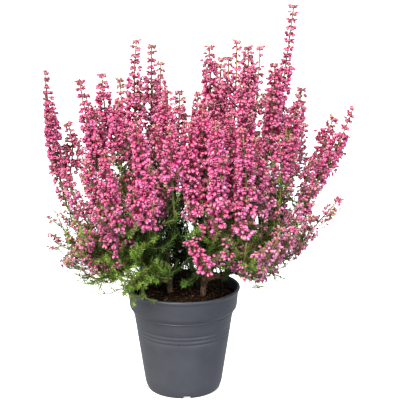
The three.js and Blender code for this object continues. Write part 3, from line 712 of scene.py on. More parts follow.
# %% Damp peat
peat, tree, shader = new_finish("damp peat", {"Roughness": 0.95, "Specular IOR Level": 0.15})
where = add_node(tree, "ShaderNodeTexCoord").outputs["Object"]
crumb_noise = add_node(
    tree, "ShaderNodeTexNoise", {"Scale": per_metre(2.0), "Detail": 5.0}, {"Vector": where}
)
ramp = add_node(tree, "ShaderNodeValToRGB", links={"Fac": crumb_noise.outputs["Fac"]})
peat_stops = [(0.3, "#120c08"), (0.52, "#2a1b12"), (0.66, "#442a1b"), (0.78, "#6b4a30")]
tree.links.new(set_ramp(ramp, peat_stops), shader.inputs["Base Color"])
bump(tree, shader, crumb_noise.outputs["Fac"], 1.2)
mesh_piece("soil_body", soil_points / METRE, soil_faces, peat, ["soil"])

# %% [markdown]
# The crumbs are lumps from half a millimetre to three, mostly small, with six knocked shapes
# between them. A fibre is a chain of short straight rods that wanders over the peat.

# %% Crumbs and fibres on the soil
CRUMB_COUNT = 1000
CRUMB_SHAPES = 6
FIBRE_COUNT = 420
soil_draw = np.random.default_rng(11)


def any_turns(draw, count):
    """Random turns, one for each copy."""
    first = unit(draw.normal(size=(count, 3)))
    second = unit(np.cross(first, draw.normal(size=(count, 3))))
    return np.stack([first, second, np.cross(first, second)], -1)


def crumb_pattern(draw):
    """A rough lump one millimetre across, from the eight corners of a knocked box."""
    shape = np.array([(x, y, z) for z in (-1, 1) for y in (-1, 1) for x in (-1, 1)], float)
    shape *= 0.42 * draw.uniform(0.6, 1.25, shape.shape)
    box = [(0, 2, 3, 1), (4, 5, 7, 6), (0, 1, 5, 4), (2, 6, 7, 3), (0, 4, 6, 2), (1, 3, 7, 5)]
    faces = np.array([half for a, b, c, d in box for half in ((a, b, c), (a, c, d))])
    return shape, faces, np.linspace(0, 1, 8), np.linspace(-0.5, 0.5, 8)[::-1]


def rods(tray, starts, ends, radii, shades):
    """Slim three-sided spikes between places, for flower stalks and fibres."""
    starts, ends = np.atleast_2d(starts), np.atleast_2d(ends)
    way = unit(ends - starts)
    helper = np.where(np.abs(way[:, 2:]) < 0.9, UP, np.array([1.0, 0, 0]))
    side = unit(np.cross(way, helper))
    across = np.cross(way, side)
    radii = np.broadcast_to(radii, len(starts))[:, None]
    corners = [
        starts + radii * (side * math.cos(turn) + across * math.sin(turn))
        for turn in (0, 2 * math.pi / 3, 4 * math.pi / 3)
    ]
    corners = np.stack([*corners, ends + 0.3 * radii * way], 1)
    marks = np.empty((len(starts), 4, 3))
    marks[..., 0] = np.broadcast_to(shades, len(starts))[:, None]
    marks[..., 1] = (0, 0, 0, 1)
    marks[..., 2] = (-0.5, 0, 0.5, 0)
    tray.add_copies(corners, np.array([(0, 1, 3), (1, 2, 3), (2, 0, 3)]), marks)


def scatter_on_soil(draw, count, edge):
    """Places spread evenly over the peat, inside an edge radius."""
    radius = edge * np.sqrt(draw.uniform(0, 1, count))
    angle = draw.uniform(0, 2 * math.pi, count)
    x, y = radius * np.cos(angle), radius * np.sin(angle)
    return np.column_stack([x, y, [soil_top(a, b) for a, b in zip(x, y, strict=True)]])


crumbs = Tray()
for _ in range(CRUMB_SHAPES):
    count = CRUMB_COUNT // CRUMB_SHAPES
    places = scatter_on_soil(soil_draw, count, SOIL_RADIUS - 2)
    sizes = 0.7 + 2.2 * soil_draw.uniform(0, 1, count) ** 3
    places[:, 2] += sizes * 0.15
    turns = any_turns(soil_draw, count)
    crumb = crumb_pattern(soil_draw)
    crumbs.lay(crumb, places, turns, sizes, soil_draw.uniform(0, 1, count) ** 1.6)

fibres = Tray()
fibre_from = scatter_on_soil(soil_draw, FIBRE_COUNT, SOIL_RADIUS - 3)
for row in fibre_from:
    heading = soil_draw.uniform(0, 2 * math.pi)
    shade = soil_draw.uniform(0, 1)
    radius = soil_draw.uniform(0.15, 0.38)
    at = row + UP * 0.5
    for _ in range(soil_draw.integers(2, 5)):
        heading += soil_draw.normal(0, 0.5)
        step = soil_draw.uniform(1.2, 2.6)
        after = at + step * np.array([math.cos(heading), math.sin(heading), 0])
        if math.hypot(after[0], after[1]) > SOIL_RADIUS - 1.5:
            break
        after[2] = soil_top(after[0], after[1]) + soil_draw.uniform(0.2, 1.5)
        rods(fibres, at, after, radius, shade)
        at = after

# %% [markdown]
# A crumb is the same peat, drier and therefore paler, and as dull. A fibre of moss or root is
# straw coloured to brown, and its smooth skin has a faint shine. Both finishes and that of the
# young stems differ only in their colours and grain, so one function makes all three.

# %% Crumbled peat and dry fibre


def tinted_finish(name, stops, settings, grain_mm, grain_depth):
    """A finish whose tint is each small part's own shade, with a fine grain on it."""
    material, tree, shader = new_finish(name, settings)
    where = add_node(tree, "ShaderNodeTexCoord").outputs["Object"]
    grain = add_node(
        tree, "ShaderNodeTexNoise", {"Scale": per_metre(grain_mm), "Detail": 3.0}, {"Vector": where}
    ).outputs["Fac"]
    shadow = add_node(
        tree,
        "ShaderNodeMapRange",
        {"From Min": 0.3, "From Max": 0.7, "To Min": 0.7, "To Max": 1.15},
        {"Value": grain},
    )
    grained = add_node(tree, "ShaderNodeMix", FULL_MULTIPLY)
    tree.links.new(by_shade(tree, stops), grained.inputs[MIX_FIRST])
    tree.links.new(shadow.outputs["Result"], grained.inputs[MIX_SECOND])
    tree.links.new(grained.outputs[MIXED], shader.inputs["Base Color"])
    bump(tree, shader, grain, grain_depth)
    return material


crumb_finish = tinted_finish(
    "crumbled peat",
    [(0.0, "#140d09"), (0.45, "#2f1e14"), (0.8, "#553521"), (0.95, "#8d6a48")],
    {"Roughness": 0.92, "Specular IOR Level": 0.2},
    0.6,
    0.3,
)
fibre_finish = tinted_finish(
    "dry moss fibre",
    [(0.0, "#3a2317"), (0.5, "#6d4526"), (0.85, "#94703f"), (1.0, "#c2a673")],
    {"Roughness": 0.7, "Specular IOR Level": 0.3},
    0.8,
    0.1,
)
crumbs.piece("soil_crumbs", crumb_finish, "soil")
fibres.piece("soil_fibres", fibre_finish, "soil")
print("soil", sum(n for name, n in triangles_made.items() if name.startswith("soil")), "triangles")

# %% [markdown]
# ## Woody stems
# Two brown stems stand in the peat and fork low down. Each limb leaves its stem, bends outwards
# and ends where the leafy stems begin. The line of a limb is a curve between those two, and the
# skin round it has knots and shallow flakes of bark that follow its length.

# %% The skin of a stem
TRUNK_RADIUS = 3.2
LIMB_RADIUS = 2.0
CROWN_HEIGHT = 109.0
LIMB_REACH = 3.0


def stem_skin(tray, line, radii, sides, shade, roughness=0.0, seed=0.0):
    """A tube round a line. Its radius goes evenly from the first to the last of the radii."""
    count, ring = len(line.marks), np.arange(sides)
    turn = ring * 2 * math.pi / sides
    radius = np.interp(line.marks, np.linspace(0, line.length, len(radii)), radii)[:, None]
    if roughness:
        round_stem = [(math.cos(a) * 1.3 + seed, math.sin(a) * 1.3) for a in turn]
        rough = [[noise.noise(Vector((x, y, m / 7))) for x, y in round_stem] for m in line.marks]
        radius = radius * (1 + roughness * np.array(rough))
    across = np.cross(line.ways, line.sides)
    corners = (
        line.places[:, None]
        + (radius * np.cos(turn))[..., None] * line.sides[:, None]
        + (radius * np.sin(turn))[..., None] * across[:, None]
    )
    low = np.arange(count - 1)[:, None] * sides + ring
    low_next = np.arange(count - 1)[:, None] * sides + np.roll(ring, -1)
    centre, rim = np.zeros(sides - 2, int), np.arange(1, sides - 1)
    faces = np.concatenate(
        [
            np.stack([low, low_next, low_next + sides], -1).reshape(-1, 3),
            np.stack([low, low_next + sides, low + sides], -1).reshape(-1, 3),
            np.stack([centre, rim + 1, rim], -1),
            np.stack([centre, rim, rim + 1], -1) + (count - 1) * sides,
        ]
    )
    marks = np.empty((count, sides, 3))
    marks[..., 0] = shade
    marks[..., 1] = (line.marks / line.length)[:, None]
    marks[..., 2] = np.linspace(-0.5, 0.5, sides)[None]
    tray.add(corners.reshape(-1, 3), faces, marks.reshape(-1, 3))


def bow(start, first_way, last_way, end, share=0.4, spacing=LINE_STEP):
    """A curve that leaves and arrives in given directions."""
    reach = np.linalg.norm(end - start) * share
    t = np.linspace(0, 1, 24)[:, None]
    leave, arrive = start + unit(first_way) * reach, end - unit(last_way) * reach
    first_half = (1 - t) ** 3 * start + 3 * (1 - t) ** 2 * t * leave
    return StemLine(first_half + 3 * (1 - t) * t**2 * arrive + t**3 * end, spacing)


# %% [markdown]
# Heath bark is thin, grey brown and flakes in strips. Its pattern is noise stretched along the
# stem: the strips are about a millimetre wide and several long. It has no shine to speak of.

# %% Flaky bark
bark, tree, shader = new_finish("flaky heath bark", {"Roughness": 0.85, "Specular IOR Level": 0.25})
where = add_node(tree, "ShaderNodeTexCoord").outputs["Object"]
stretched = add_node(tree, "ShaderNodeMapping", {"Scale": (1.0, 1.0, 0.25)}, {"Vector": where})
flakes = add_node(
    tree,
    "ShaderNodeTexNoise",
    {"Scale": per_metre(1.1), "Detail": 4.0},
    {"Vector": stretched.outputs["Vector"]},
)
ramp = add_node(tree, "ShaderNodeValToRGB", links={"Fac": flakes.outputs["Fac"]})
bark_stops = [(0.3, "#3f2c20"), (0.5, "#765944"), (0.7, "#a08468")]
tree.links.new(set_ramp(ramp, bark_stops), shader.inputs["Base Color"])
bump(tree, shader, flakes.outputs["Fac"], 0.5)

limb_curves = {}
for index, name in enumerate(woody_names):
    corners = corners_and_edges(name)[0]
    root = corners[corners[:, 2] < corners[:, 2].min() + 1].mean(0)
    crown = np.array([root[0], root[1], CROWN_HEIGHT])
    wood = Tray()
    trunk = StemLine(np.linspace(root, crown + UP * 5, 12))
    seed = index * 5.0
    trunk_radii = [TRUNK_RADIUS, TRUNK_RADIUS * 0.9]
    stem_skin(wood, trunk, trunk_radii, sides=12, shade=0.5, roughness=0.25, seed=seed)
    for limb in leafy_names:
        first = limb_stems[limb][0]
        if gaps_to(first.places[:1], corners)[0] > LIMB_REACH:
            continue
        curve = limb_curves[limb] = bow(crown, UP, first.ways[1], first.places[0], 0.42)
        radii = [LIMB_RADIUS * 1.15, LIMB_RADIUS * 0.9, 1.4]
        seed = index * 5.0 + len(wood.corners)
        stem_skin(wood, curve, radii, sides=9, shade=0.5, roughness=0.2, seed=seed)
    wood.piece(name + "_bark", bark, "bark", [name])
print("woody stems", sum(n for name, n in triangles_made.items() if "woody" in name), "triangles")

# %% [markdown]
# ## Leafy stems
# Below its flowers each stem carries short side twigs, which fill the bush with green. A twig
# leaves its stem at an angle and turns up to the light, so its line is a bow between those two
# ways. Particles could scatter twigs as well, but an export drops them, and they can't be told to
# keep clear of the pot. Here every twig is a line first, and is kept only where it has room.

# %% Where twigs grow
TwigHabit = namedtuple("TwigHabit", "spacing lengths rise lean", defaults=[1.0])
LEAFY_TWIGS = TwigHabit(8.0, (12.0, 30.0), (0.4, 1.0))
INNER_TWIGS = TwigHabit(11.0, (16.0, 42.0), (1.2, 2.2))
BASE_TWIGS = TwigHabit(6.0, (18.0, 46.0), (1.0, 2.4))
SPIKE_TWIGS = TwigHabit(13.0, (9.0, 21.0), (0.6, 1.4))
SIDE_TWIGS = TwigHabit(11.0, (6.0, 13.0), (0.4, 1.0))
TWIG_BEND = 0.35
TWIG_STEP = 10.0
BOX_CLEARANCE = 4.0
POT_CLEARANCE = 3.0
RIM_WIDTH = 6.0
# The gap in front, where the bare woody stems show, and the open air on both sides of the pot
GAP_MIDDLE, GAP_HALF_WIDTH, GAP_TOP = 8.0, 30.0, 142.0
OPEN_LEFT, OPEN_LEFT_TOP = -62.0, 120.0
OPEN_RIGHT, OPEN_RIGHT_TOP = 45.0, 132.0


def free_of_pot(places):
    """False for a twig that would cross the pot or the peat, or hang where the air is open."""
    x, y, z = places.T
    radius = np.hypot(x, y)
    in_rim = (radius > LIP_RADIUS - RIM_WIDTH) & (radius < LIP_RADIUS + POT_CLEARANCE)
    in_rim &= z < POT_HEIGHT + POT_CLEARANCE
    in_soil = (radius < LIP_RADIUS) & (z < POT_HEIGHT - POT_CLEARANCE)
    in_gap = (np.abs(x - GAP_MIDDLE) < GAP_HALF_WIDTH) & (y < 0) & (z < GAP_TOP)
    in_air = (x > OPEN_RIGHT) & (z < OPEN_RIGHT_TOP) | (x < OPEN_LEFT) & (z < OPEN_LEFT_TOP)
    return not (in_rim | in_soil | in_gap | in_air).any()


def inside_box(places, margin=0.5):
    """True for each place that lies inside the solids' box, by a margin."""
    return ((places > box_low + margin) & (places < box_high - margin)).all(-1)


def has_room(line):
    return inside_box(line.places, BOX_CLEARANCE).all() and free_of_pot(line.places)


def sisters(line, draw, count):
    """Shoots beside a shoot, from the same place. Each is a little shorter and turned aside."""
    made = []
    across = Vector(np.cross(line.ways[0], UP))
    for _ in range(count):
        aside, down = draw.normal(0, 0.22), draw.normal(0, 0.2)
        turn = Matrix.Rotation(aside, 3, "Z") @ Matrix.Rotation(down, 3, across)
        reach = draw.uniform(0.55, 0.98)
        sister = (line.places - line.places[0]) @ np.array(turn).T * reach + line.places[0]
        if inside_box(sister, BOX_CLEARANCE).all() and free_of_pot(sister[4:]):
            made.append(StemLine(sister))
    return made


def twigs_on(line, draw, start, end, habit, spacing=None):
    """Twigs of one habit that leave a stem between two distances from its foot."""
    made = []
    for distance in np.arange(start, end, spacing or habit.spacing):
        distance, angle = distance + draw.uniform(-3, 3), draw.uniform(0, 2 * math.pi)
        place, way, out = line.outwards(distance, angle)
        length = draw.uniform(*habit.lengths)
        first_way = unit(out * habit.lean + 0.7 * way)
        last_way = unit(out * 0.5 * habit.lean + way * 0.5 + UP * draw.uniform(*habit.rise))
        tip = place + length * unit(first_way + last_way)
        twig = bow(place, first_way, last_way, tip, TWIG_BEND, TWIG_STEP)
        if has_room(twig):
            made.append(twig)
    return made


# %% [markdown]
# ## Needles
# The leaves of a heath are needles four to five millimetres long, four in a ring round the stem,
# and each ring sits over the gaps of the one below. They lean along the stem and spread a little.
# A needle is only two triangles, folded along its midrib, because there are over a hundred
# thousand of them, and the fold alone makes one half catch the light and the other lie in shade.

# %% Needles
NEEDLE_RING = 4
NEEDLE_SPACING = 2.4
NEEDLE_LENGTH = 4.5
NEEDLE_HALF_WIDTH = 0.38
NEEDLE_FOLD = 0.2
WIDEST = 0.42
SUNK = 0.8


def needle_pattern():
    """A needle one millimetre long: a narrow leaf, folded along its midrib."""
    width, fold = NEEDLE_HALF_WIDTH / NEEDLE_LENGTH, NEEDLE_FOLD / NEEDLE_LENGTH
    shape = np.array([(0, 0, 0), (width, fold, WIDEST), (-width, fold, WIDEST), (0, 0, 1)])
    faces = np.array([(0, 1, 3), (0, 3, 2)])
    return shape, faces, np.array([0, WIDEST, WIDEST, 1]), np.array([0, -0.5, 0.5, 0])


def frames_along(ways, up=None):
    """Turns that lay a pattern's z axis along each way, and its y axis near another direction."""
    if up is None:
        up = np.where(np.abs(ways[:, 2:]) < 0.9, UP, np.array([1.0, 0, 0]))
    side = unit(np.cross(up, ways))
    return np.stack([side, np.cross(ways, side), ways], -1)


needle = needle_pattern()


def set_needles(tray, line, draw, start, end, spacing, tint, root, length):
    """Rings of needles round a stretch of a line. They lean along the stem, and spread."""
    if end <= start:
        return
    rings = np.arange(start, end, spacing)
    distances = np.repeat(rings, NEEDLE_RING) + draw.uniform(-0.6, 0.6, len(rings) * NEEDLE_RING)
    place, way, side, across = line.at(distances)
    ring_turn = np.repeat(np.arange(len(rings)) * math.pi / 4 + draw.uniform(0, 3), NEEDLE_RING)
    angle = ring_turn + np.tile(np.arange(NEEDLE_RING), len(rings)) * 2 * math.pi / NEEDLE_RING
    angle = angle + draw.normal(0, 0.25, len(angle))
    out = side * np.cos(angle)[:, None] + across * np.sin(angle)[:, None]
    spread = draw.uniform(0.6, 1.7, len(angle))[:, None]
    ways = unit(way + out * spread + draw.normal(0, 0.1, out.shape))
    sizes = length * draw.uniform(0.75, 1.15, len(angle))
    roots = place + out * root * SUNK
    kept = inside_box(roots + ways * sizes[:, None])
    towards_tip = (distances - start) / max(end - start, 1)
    # The tint from the caller carries painted light and shade; it rises towards the end of the
    # stretch
    shades = np.clip(tint + 0.25 * towards_tip + draw.normal(0, 0.12, len(angle)), 0.02, 0.98)
    turns = frames_along(ways[kept], way[kept])
    tray.lay(needle, roots[kept], turns, sizes[kept], shades[kept])


# %% [markdown]
# A needle is a stiff leaf with a waxy skin, yellow green on a young shoot, deep green with age and
# brown once it is dry. Its finish reads the shade of each needle and runs between those colours.
# That shade also carries painted light and shade: it comes from the light at the needle's place in
# the bush. A needle's tip is painted lighter than its root, as painted shade where the root lies in
# the shade of its ring. The wax gives a roughness near 0.45: a soft shine, no sparkle. The skin of
# young stems is painted brown black deep in the bush, olive where leaves shade it and tan in the
# light: painted shade and painted light. It is dull and fine-grained, like paper.

# %% Waxy needle and young stem
leaf, tree, shader = new_finish("waxy needle leaf", {"Roughness": 0.45, "IOR": 1.45})
along = add_node(tree, "ShaderNodeAttribute", {"attribute_name": "along"}).outputs["Fac"]
leaf_stops = [(0.0, "#6b5630"), (0.07, "#1e2e14"), (0.35, "#3a5c1c")]
leaf_stops += [(0.65, "#5c8426"), (1.0, "#94b648")]
# Painted shade at each needle's root and painted light at its tip
tip_light = add_node(
    tree,
    "ShaderNodeMapRange",
    {"From Min": 0.0, "From Max": 1.0, "To Min": 0.75, "To Max": 1.35},
    {"Value": along},
)
lit_leaf = add_node(tree, "ShaderNodeMix", FULL_MULTIPLY)
tree.links.new(by_shade(tree, leaf_stops), lit_leaf.inputs[MIX_FIRST])
tree.links.new(tip_light.outputs["Result"], lit_leaf.inputs[MIX_SECOND])
tree.links.new(lit_leaf.outputs[MIXED], shader.inputs["Base Color"])

young_stem = tinted_finish(
    "papery young stem",
    # The brown black first stop serves the painted shade deep in the bush
    [(0.0, "#15130d"), (0.2, "#4b5a2c"), (0.4, "#7a7440"), (0.7, "#b59b68"), (1.0, "#8a4a3a")],
    {"Roughness": 0.6, "Specular IOR Level": 0.35},
    0.9,
    0.1,
)

# %% [markdown]
# ## Light and age in the bush
# Deep in the bush the leaves and stems are painted dark, and at its outside light: painted shade
# and painted light. The low outer sprays flowered first and have faded to tan and pale pink. Rays
# could be counted to find the light at a leaf. Two short formulas give the same picture at once:
# one says how much light reaches a place, which is painted into leaves and stems, the other how
# far its flowers have faded.

# %% Light and age
# The bush leans a little to the right of its pot
BUSH_MIDDLE = 15.0
BUSH_RADIUS = 95.0
# The distances from the pot's middle where the faded flanks begin
FRESH_LEFT, FRESH_RIGHT = 56, 38
FADING_WIDTH = 50


def between(value, start, end):
    """How far a value has gone from a start to an end, from 0 to 1."""
    return np.clip((value - start) / (end - start), 0, 1)


def near(value, middle, width):
    """1 at the middle, and less on both sides of it."""
    return math.exp(-(((value - middle) / width) ** 2))


def light_at(place):
    """How much light a leaf gets at a place, from 0 deep inside the bush to 1 at its outside."""
    x, y, z = place
    reach = math.hypot(x - BUSH_MIDDLE, y) / BUSH_RADIUS
    # Painted shade: the dark middle over the bare stems leans to the left and narrows as it rises
    up = between(z, 150, 210)
    painted_hollow_shade = 0.5 * near(x - 12 + 18 * up, 0, 34 - 12 * up) * between(z, 238, 188)
    # Painted light: the shoots low in front on the left are made brighter than their place says
    young = 0.5 * near(x, -46, 26) * between(y, 20, -20) * between(z, 185, 155)
    # Painted shade: a dark cleft runs up between the front spikes on the left
    painted_cleft_shade = 0.5 * near(x, -58, 11) * between(y, -75, -50)
    painted_cleft_shade *= between(z, 240, 220) * between(z, 165, 185)
    light = reach**1.5 + 0.1 * (z - 150) / 100 - 0.15 - painted_hollow_shade - painted_cleft_shade + young
    return float(np.clip(light, 0, 1))


def fading_at(place):
    """How far the low flanks have faded, from 0 in the middle to 1 at the lowest outer sprays."""
    x, _, z = place
    fresh = FRESH_LEFT if x < 0 else FRESH_RIGHT
    return float(between(abs(x), fresh, fresh + FADING_WIDTH) * between(z, 275, 205))


def painted_light_on_skin(line, dark, lit):
    """The tint of a young stem's skin along its line: painted shade in the bush, painted light
    outside.
    """
    return np.array([[dark + (lit - dark) * light_at(place)] for place in line.places])


# %% [markdown]
# ## Old stems inside
# Behind the front spikes the photograph shows no daylight, only dark stems and leaves. They are
# last year's growth. Some leave the limbs and end below the flowers, some lean back through the
# bush, and some come straight from the peat. A dark backdrop would hide the daylight too, but only
# from one side, and nothing of that kind grows in a pot.
# Their skins and needles are painted almost black: painted shade of the inside of the bush.

# %% Old stems
INNER_STEM_COUNT = 34
INNER_STEM_LENGTHS = (45.0, 105.0)
INNER_REACH = 84.0
INNER_TOP = 306.0
OLD_STEM_COUNT = 60
OLD_FEET = ((-34, 44), (2, 42))
OLD_LEAN, OLD_BACK, OLD_RISE = 9, (0, 14), (26, 58)
BACK_STEM_COUNT = 110
BACK_GOALS = ((-32, 50), (14, 80), (116, 190))


def inner_stems(lines, draw):
    """Thin old stems that fill the middle of the bush. They stay below the flowers there."""
    made = []
    while len(made) < INNER_STEM_COUNT:
        line = lines[draw.integers(len(lines))]
        distance, angle = line.length * draw.uniform(0.1, 0.9), draw.uniform(0, 2 * math.pi)
        place, way, out = line.outwards(distance, angle)
        inwards = unit(-place * (1, 1, 0))
        last_way = unit(UP * 2.2 + out * 0.5 + inwards * draw.uniform(-0.5, 0.9))
        first_way = unit(way + out * 0.6)
        tip = place + draw.uniform(*INNER_STEM_LENGTHS) * unit(first_way + 1.6 * last_way)
        stem = bow(place, first_way, last_way, tip, TWIG_BEND, 18)
        reach = math.hypot(tip[0] - BUSH_MIDDLE, tip[1])
        is_low = reach < INNER_REACH and tip[2] < INNER_TOP - 0.8 * reach
        if is_low and free_of_pot(stem.places):
            made.append(stem)
    return made


def back_stems(curve, draw):
    """Old shoots that rise from the peat or lean back from a limb, and darken the view behind;
    their near black skins are painted shade.
    """
    made = []
    for _ in range(OLD_STEM_COUNT // len(leafy_names)):
        foot = np.array([*(draw.uniform(*limits) for limits in OLD_FEET), SOIL_EDGE])
        if math.hypot(foot[0], foot[1]) > SOIL_RADIUS - 4:
            continue
        goal = foot + (draw.normal(0, OLD_LEAN), draw.uniform(*OLD_BACK), draw.uniform(*OLD_RISE))
        made.append(bow(foot, UP, unit(goal - foot), goal, TWIG_BEND, 12))
    for _ in range(BACK_STEM_COUNT // len(leafy_names)):
        place = curve.at(curve.length * draw.uniform(0.35, 1.0))[0][0]
        goal = np.array([draw.uniform(*limits) for limits in BACK_GOALS])
        first_way, last_way = unit(goal - place + UP * 12), unit(goal - place + UP * 25)
        stem = bow(place, first_way, last_way, goal, TWIG_BEND, 14)
        if has_room(stem):
            made.append(stem)
    return made


# %% [markdown]
# ## Growing the green
# Each limb grows by the same rule. Its stems and shoots get a skin, needles and twigs, then the
# limb itself and the lower part of its spikes get twigs, long twigs get side twigs, and last come
# the old stems. The random draws start from the limb's own number, so it grows the same each time.

# %% Growing the green of each limb
# The broad green spray low on the far left has more shoots than the other limbs
SISTERS, FAR_LEFT_SISTERS = 3, 6
BARE_SHARE = 0.2
FIRST_BARE = 8
SKIN_STEP = 5.0
FLOWER_HEIGHT = 205.0
STEM_PAINTED_LIGHT, TWIG_PAINTED_LIGHT = (0.12, 0.62), (0.08, 0.45)
STEM_RADII, TWIG_RADII, OLD_RADII = (1.4, 1.0, 0.85), (0.55, 0.35), (0.8, 0.45)
SHOOT_TIP_RADIUS = 0.45
# The old stems' skins are painted almost black: painted shade of the inside of the bush
INNER_PAINTED_SHADE, BACK_PAINTED_SHADE = 0.1, 0.02
INNER_NEEDLE_SPACING, BACK_NEEDLE_SPACING = 4.2, 2.8
OLD_NEEDLE_LENGTH, TWIG_NEEDLE_LENGTH = 5.0, 4.2
# How far from the middle of its stem a needle is rooted
STEM_ROOT, TWIG_ROOT, OLD_ROOT = 0.9, 0.4, 0.5
INNER_BLOOM_HEIGHT = 215.0
INNER_BLOOM_COUNT = 4
limb_twigs, limb_inner = {}, {}

for index, limb in enumerate(leafy_names):
    draw = np.random.default_rng(100 + index)
    stems, shoots = limb_stems[limb], limb_shoots[limb]
    beside = FAR_LEFT_SISTERS if limb.endswith("far_left") else SISTERS
    shoots = shoots + [sister for shoot in shoots for sister in sisters(shoot, draw, beside)]
    skins, needles, twigs = Tray(), Tray(), []
    for k, line in enumerate(stems + shoots):
        is_shoot = k >= len(stems)
        radii = [*STEM_RADII[:2], SHOOT_TIP_RADIUS if is_shoot else STEM_RADII[2]]
        skin_line = StemLine(line.places, SKIN_STEP)
        stem_skin(skins, skin_line, radii, 5, painted_light_on_skin(skin_line, *STEM_PAINTED_LIGHT))
        bare = BARE_SHARE * line.length if k else FIRST_BARE
        # Painted light and shade: the needles take their tint from the light at the stem's tip
        tint = 0.06 + 0.56 * light_at(line.places[-1])
        length = NEEDLE_LENGTH + is_shoot
        spacing = NEEDLE_SPACING
        set_needles(needles, line, draw, bare, line.length, spacing, tint, STEM_ROOT, length)
        spacing = LEAFY_TWIGS.spacing * (0.8 if is_shoot else 1.0)
        twigs += twigs_on(line, draw, bare, line.length - 2, LEAFY_TWIGS, spacing)
        if not is_shoot:
            twigs += twigs_on(line, draw, bare + 5, line.length, INNER_TWIGS)
    curve = limb_curves[limb]
    twigs += twigs_on(curve, draw, 8, curve.length, BASE_TWIGS)
    for line in (line for name in limb_spikes[limb] for line in spikes[name]):
        foot = line.places[0]
        spacing = SPIKE_TWIGS.spacing - 6 * fading_at(foot) * (foot[0] > 0)
        twigs += twigs_on(line, draw, 2, line.length * 0.6, SPIKE_TWIGS, spacing)
    for twig in twigs[:]:
        if twig.length > 18:
            twigs += twigs_on(twig, draw, 6, twig.length - 5, SIDE_TWIGS)
    inner = inner_stems([curve, *stems], draw)
    behind = back_stems(curve, draw)
    spacing, length = INNER_NEEDLE_SPACING, OLD_NEEDLE_LENGTH
    for stem in inner:
        stem_skin(skins, stem, OLD_RADII, 3, INNER_PAINTED_SHADE)
        # Painted light and shade: the tint follows the light at the old stem's tip
        tint = 0.04 + 0.5 * light_at(stem.places[-1])
        set_needles(needles, stem, draw, 12, stem.length, spacing, tint, OLD_ROOT, length)
    spacing = BACK_NEEDLE_SPACING
    for stem in behind:
        stem_skin(skins, stem, OLD_RADII, 3, BACK_PAINTED_SHADE)
        # Painted shade: the needles on the stems behind get the darkest tint
        set_needles(needles, stem, draw, 4, stem.length, spacing, 0.0, OLD_ROOT, length)
    high = [stem for stem in inner if stem.places[-1][2] > INNER_BLOOM_HEIGHT]
    limb_inner[limb] = high[:INNER_BLOOM_COUNT]
    for twig in twigs:
        stem_skin(skins, twig, TWIG_RADII, 3, painted_light_on_skin(twig, *TWIG_PAINTED_LIGHT))
        tip = twig.places[-1]
        # Painted light and shade: the tint follows the light at the twig's tip, with a random
        # spread
        tint = 0.04 + 0.56 * light_at(tip) + draw.normal(0, 0.06)
        spacing = NEEDLE_SPACING * (1.5 if tip[2] > FLOWER_HEIGHT else 1)
        end, length = twig.length + 0.5, TWIG_NEEDLE_LENGTH
        set_needles(needles, twig, draw, 1.5, end, spacing, tint, TWIG_ROOT, length)
    limb_twigs[limb] = twigs
    skins.piece(limb + "_skin", young_stem, "leaves", [limb])
    needles.piece(limb.replace("leafy_stems", "needles"), leaf, "leaves")
print(sum(map(len, limb_twigs.values())), "twigs")
green_names = [name for name in triangles_made if "needles" in name or "_skin" in name]
print("green", sum(triangles_made[name] for name in green_names), "triangles")

# %% [markdown]
# ## Flower spikes
# A spike is a thin stem with rings of short branchlets, four to a ring. Each branchlet ends in a
# few bells that hang outwards on stalks of two millimetres. Near the tip the rings stand apart
# and carry buds, lower down they crowd until the stem is hidden, and at the foot they thin out
# into the leaves. So the spike is built by the same rule from its tip down, and no two rings come
# out alike.
#
# A real bell is about four millimetres long. It is drawn five, because this many smaller bells
# would leave gaps in the spikes, and more bells would make the model too heavy. There are three
# patterns: the whole bell with its narrow neck, four lobes and four small sepals, a closed bud
# for the tips, and a plain tube for the places inside the bush, where neither lobes nor sepals
# can be seen.

# %% Bells and buds
BELL_LENGTH = 5.0
BELL_SIDES = 4
STALK_SHARE = 0.42
STALK_SIDES = 3
SEPAL = [(-0.5, 0.12, -0.02), (0.5, 0.12, -0.02), (0.0, 0.37, 0.36)]


def round_place(radius, turn, depth):
    return radius * math.cos(turn), radius * math.sin(turn), depth


def bell_rings(rings):
    """The corners of rings of (depth, radius, half step), and how far along the bell each is."""
    steps = [(*ring, k) for ring in rings for k in range(BELL_SIDES)]
    turns = [2 * math.pi * (k + half_step) / BELL_SIDES for _, _, half_step, k in steps]
    shape = [round_place(step[1], turn, step[0]) for step, turn in zip(steps, turns, strict=True)]
    return shape, [0.3 + 0.7 * step[0] for step in steps]


def bell_pattern():
    """A bell one millimetre long that hangs along z on its stalk: a round body, four lobes."""
    rings = [(0.17, 0.28, 0), (0.52, 0.4, 0.5), (0.88, 0.24, 0), (1.0, 0.34, 0.5)]
    shape, along = bell_rings(rings)
    shape, along = [(0, 0, 0), *shape], [0.25, *along]
    around = [0, *(k / (BELL_SIDES - 1) - 0.5 for _ in rings for k in range(BELL_SIDES))]
    faces = []
    shoulder, belly, neck, lobe = (1 + n * BELL_SIDES for n in range(4))
    for k in range(BELL_SIDES):
        after, before = (k + 1) % BELL_SIDES, (k - 1) % BELL_SIDES
        faces += [(0, shoulder + after, shoulder + k), (shoulder + k, shoulder + after, belly + k)]
        faces += [(belly + before, shoulder + k, belly + k), (belly + k, neck + after, neck + k)]
        faces += [(belly + before, belly + k, neck + k), (neck + k, neck + after, lobe + k)]
    for k in range(4):
        base = len(shape)
        for offset, radius, depth in SEPAL:
            shape.append(round_place(radius, 2 * math.pi * k / 4 + offset, depth))
            along.append(0.12 if depth > 0 else 0.06)
            around.append(k / 3 - 0.5)
        faces.append((base, base + 1, base + 2))
    stalk = len(shape)
    for k in range(STALK_SIDES):
        shape.append(round_place(0.1, 2 * math.pi * k / STALK_SIDES, -STALK_SHARE))
        along.append(0.0)
        around.append(k / 2 - 0.5)
        faces.append((stalk + k, stalk + (k + 1) % STALK_SIDES, stalk + STALK_SIDES))
    shape.append((0, 0, 0.06))
    return np.array(shape, float), np.array(faces), np.array([*along, 0.08]), np.array([*around, 0])


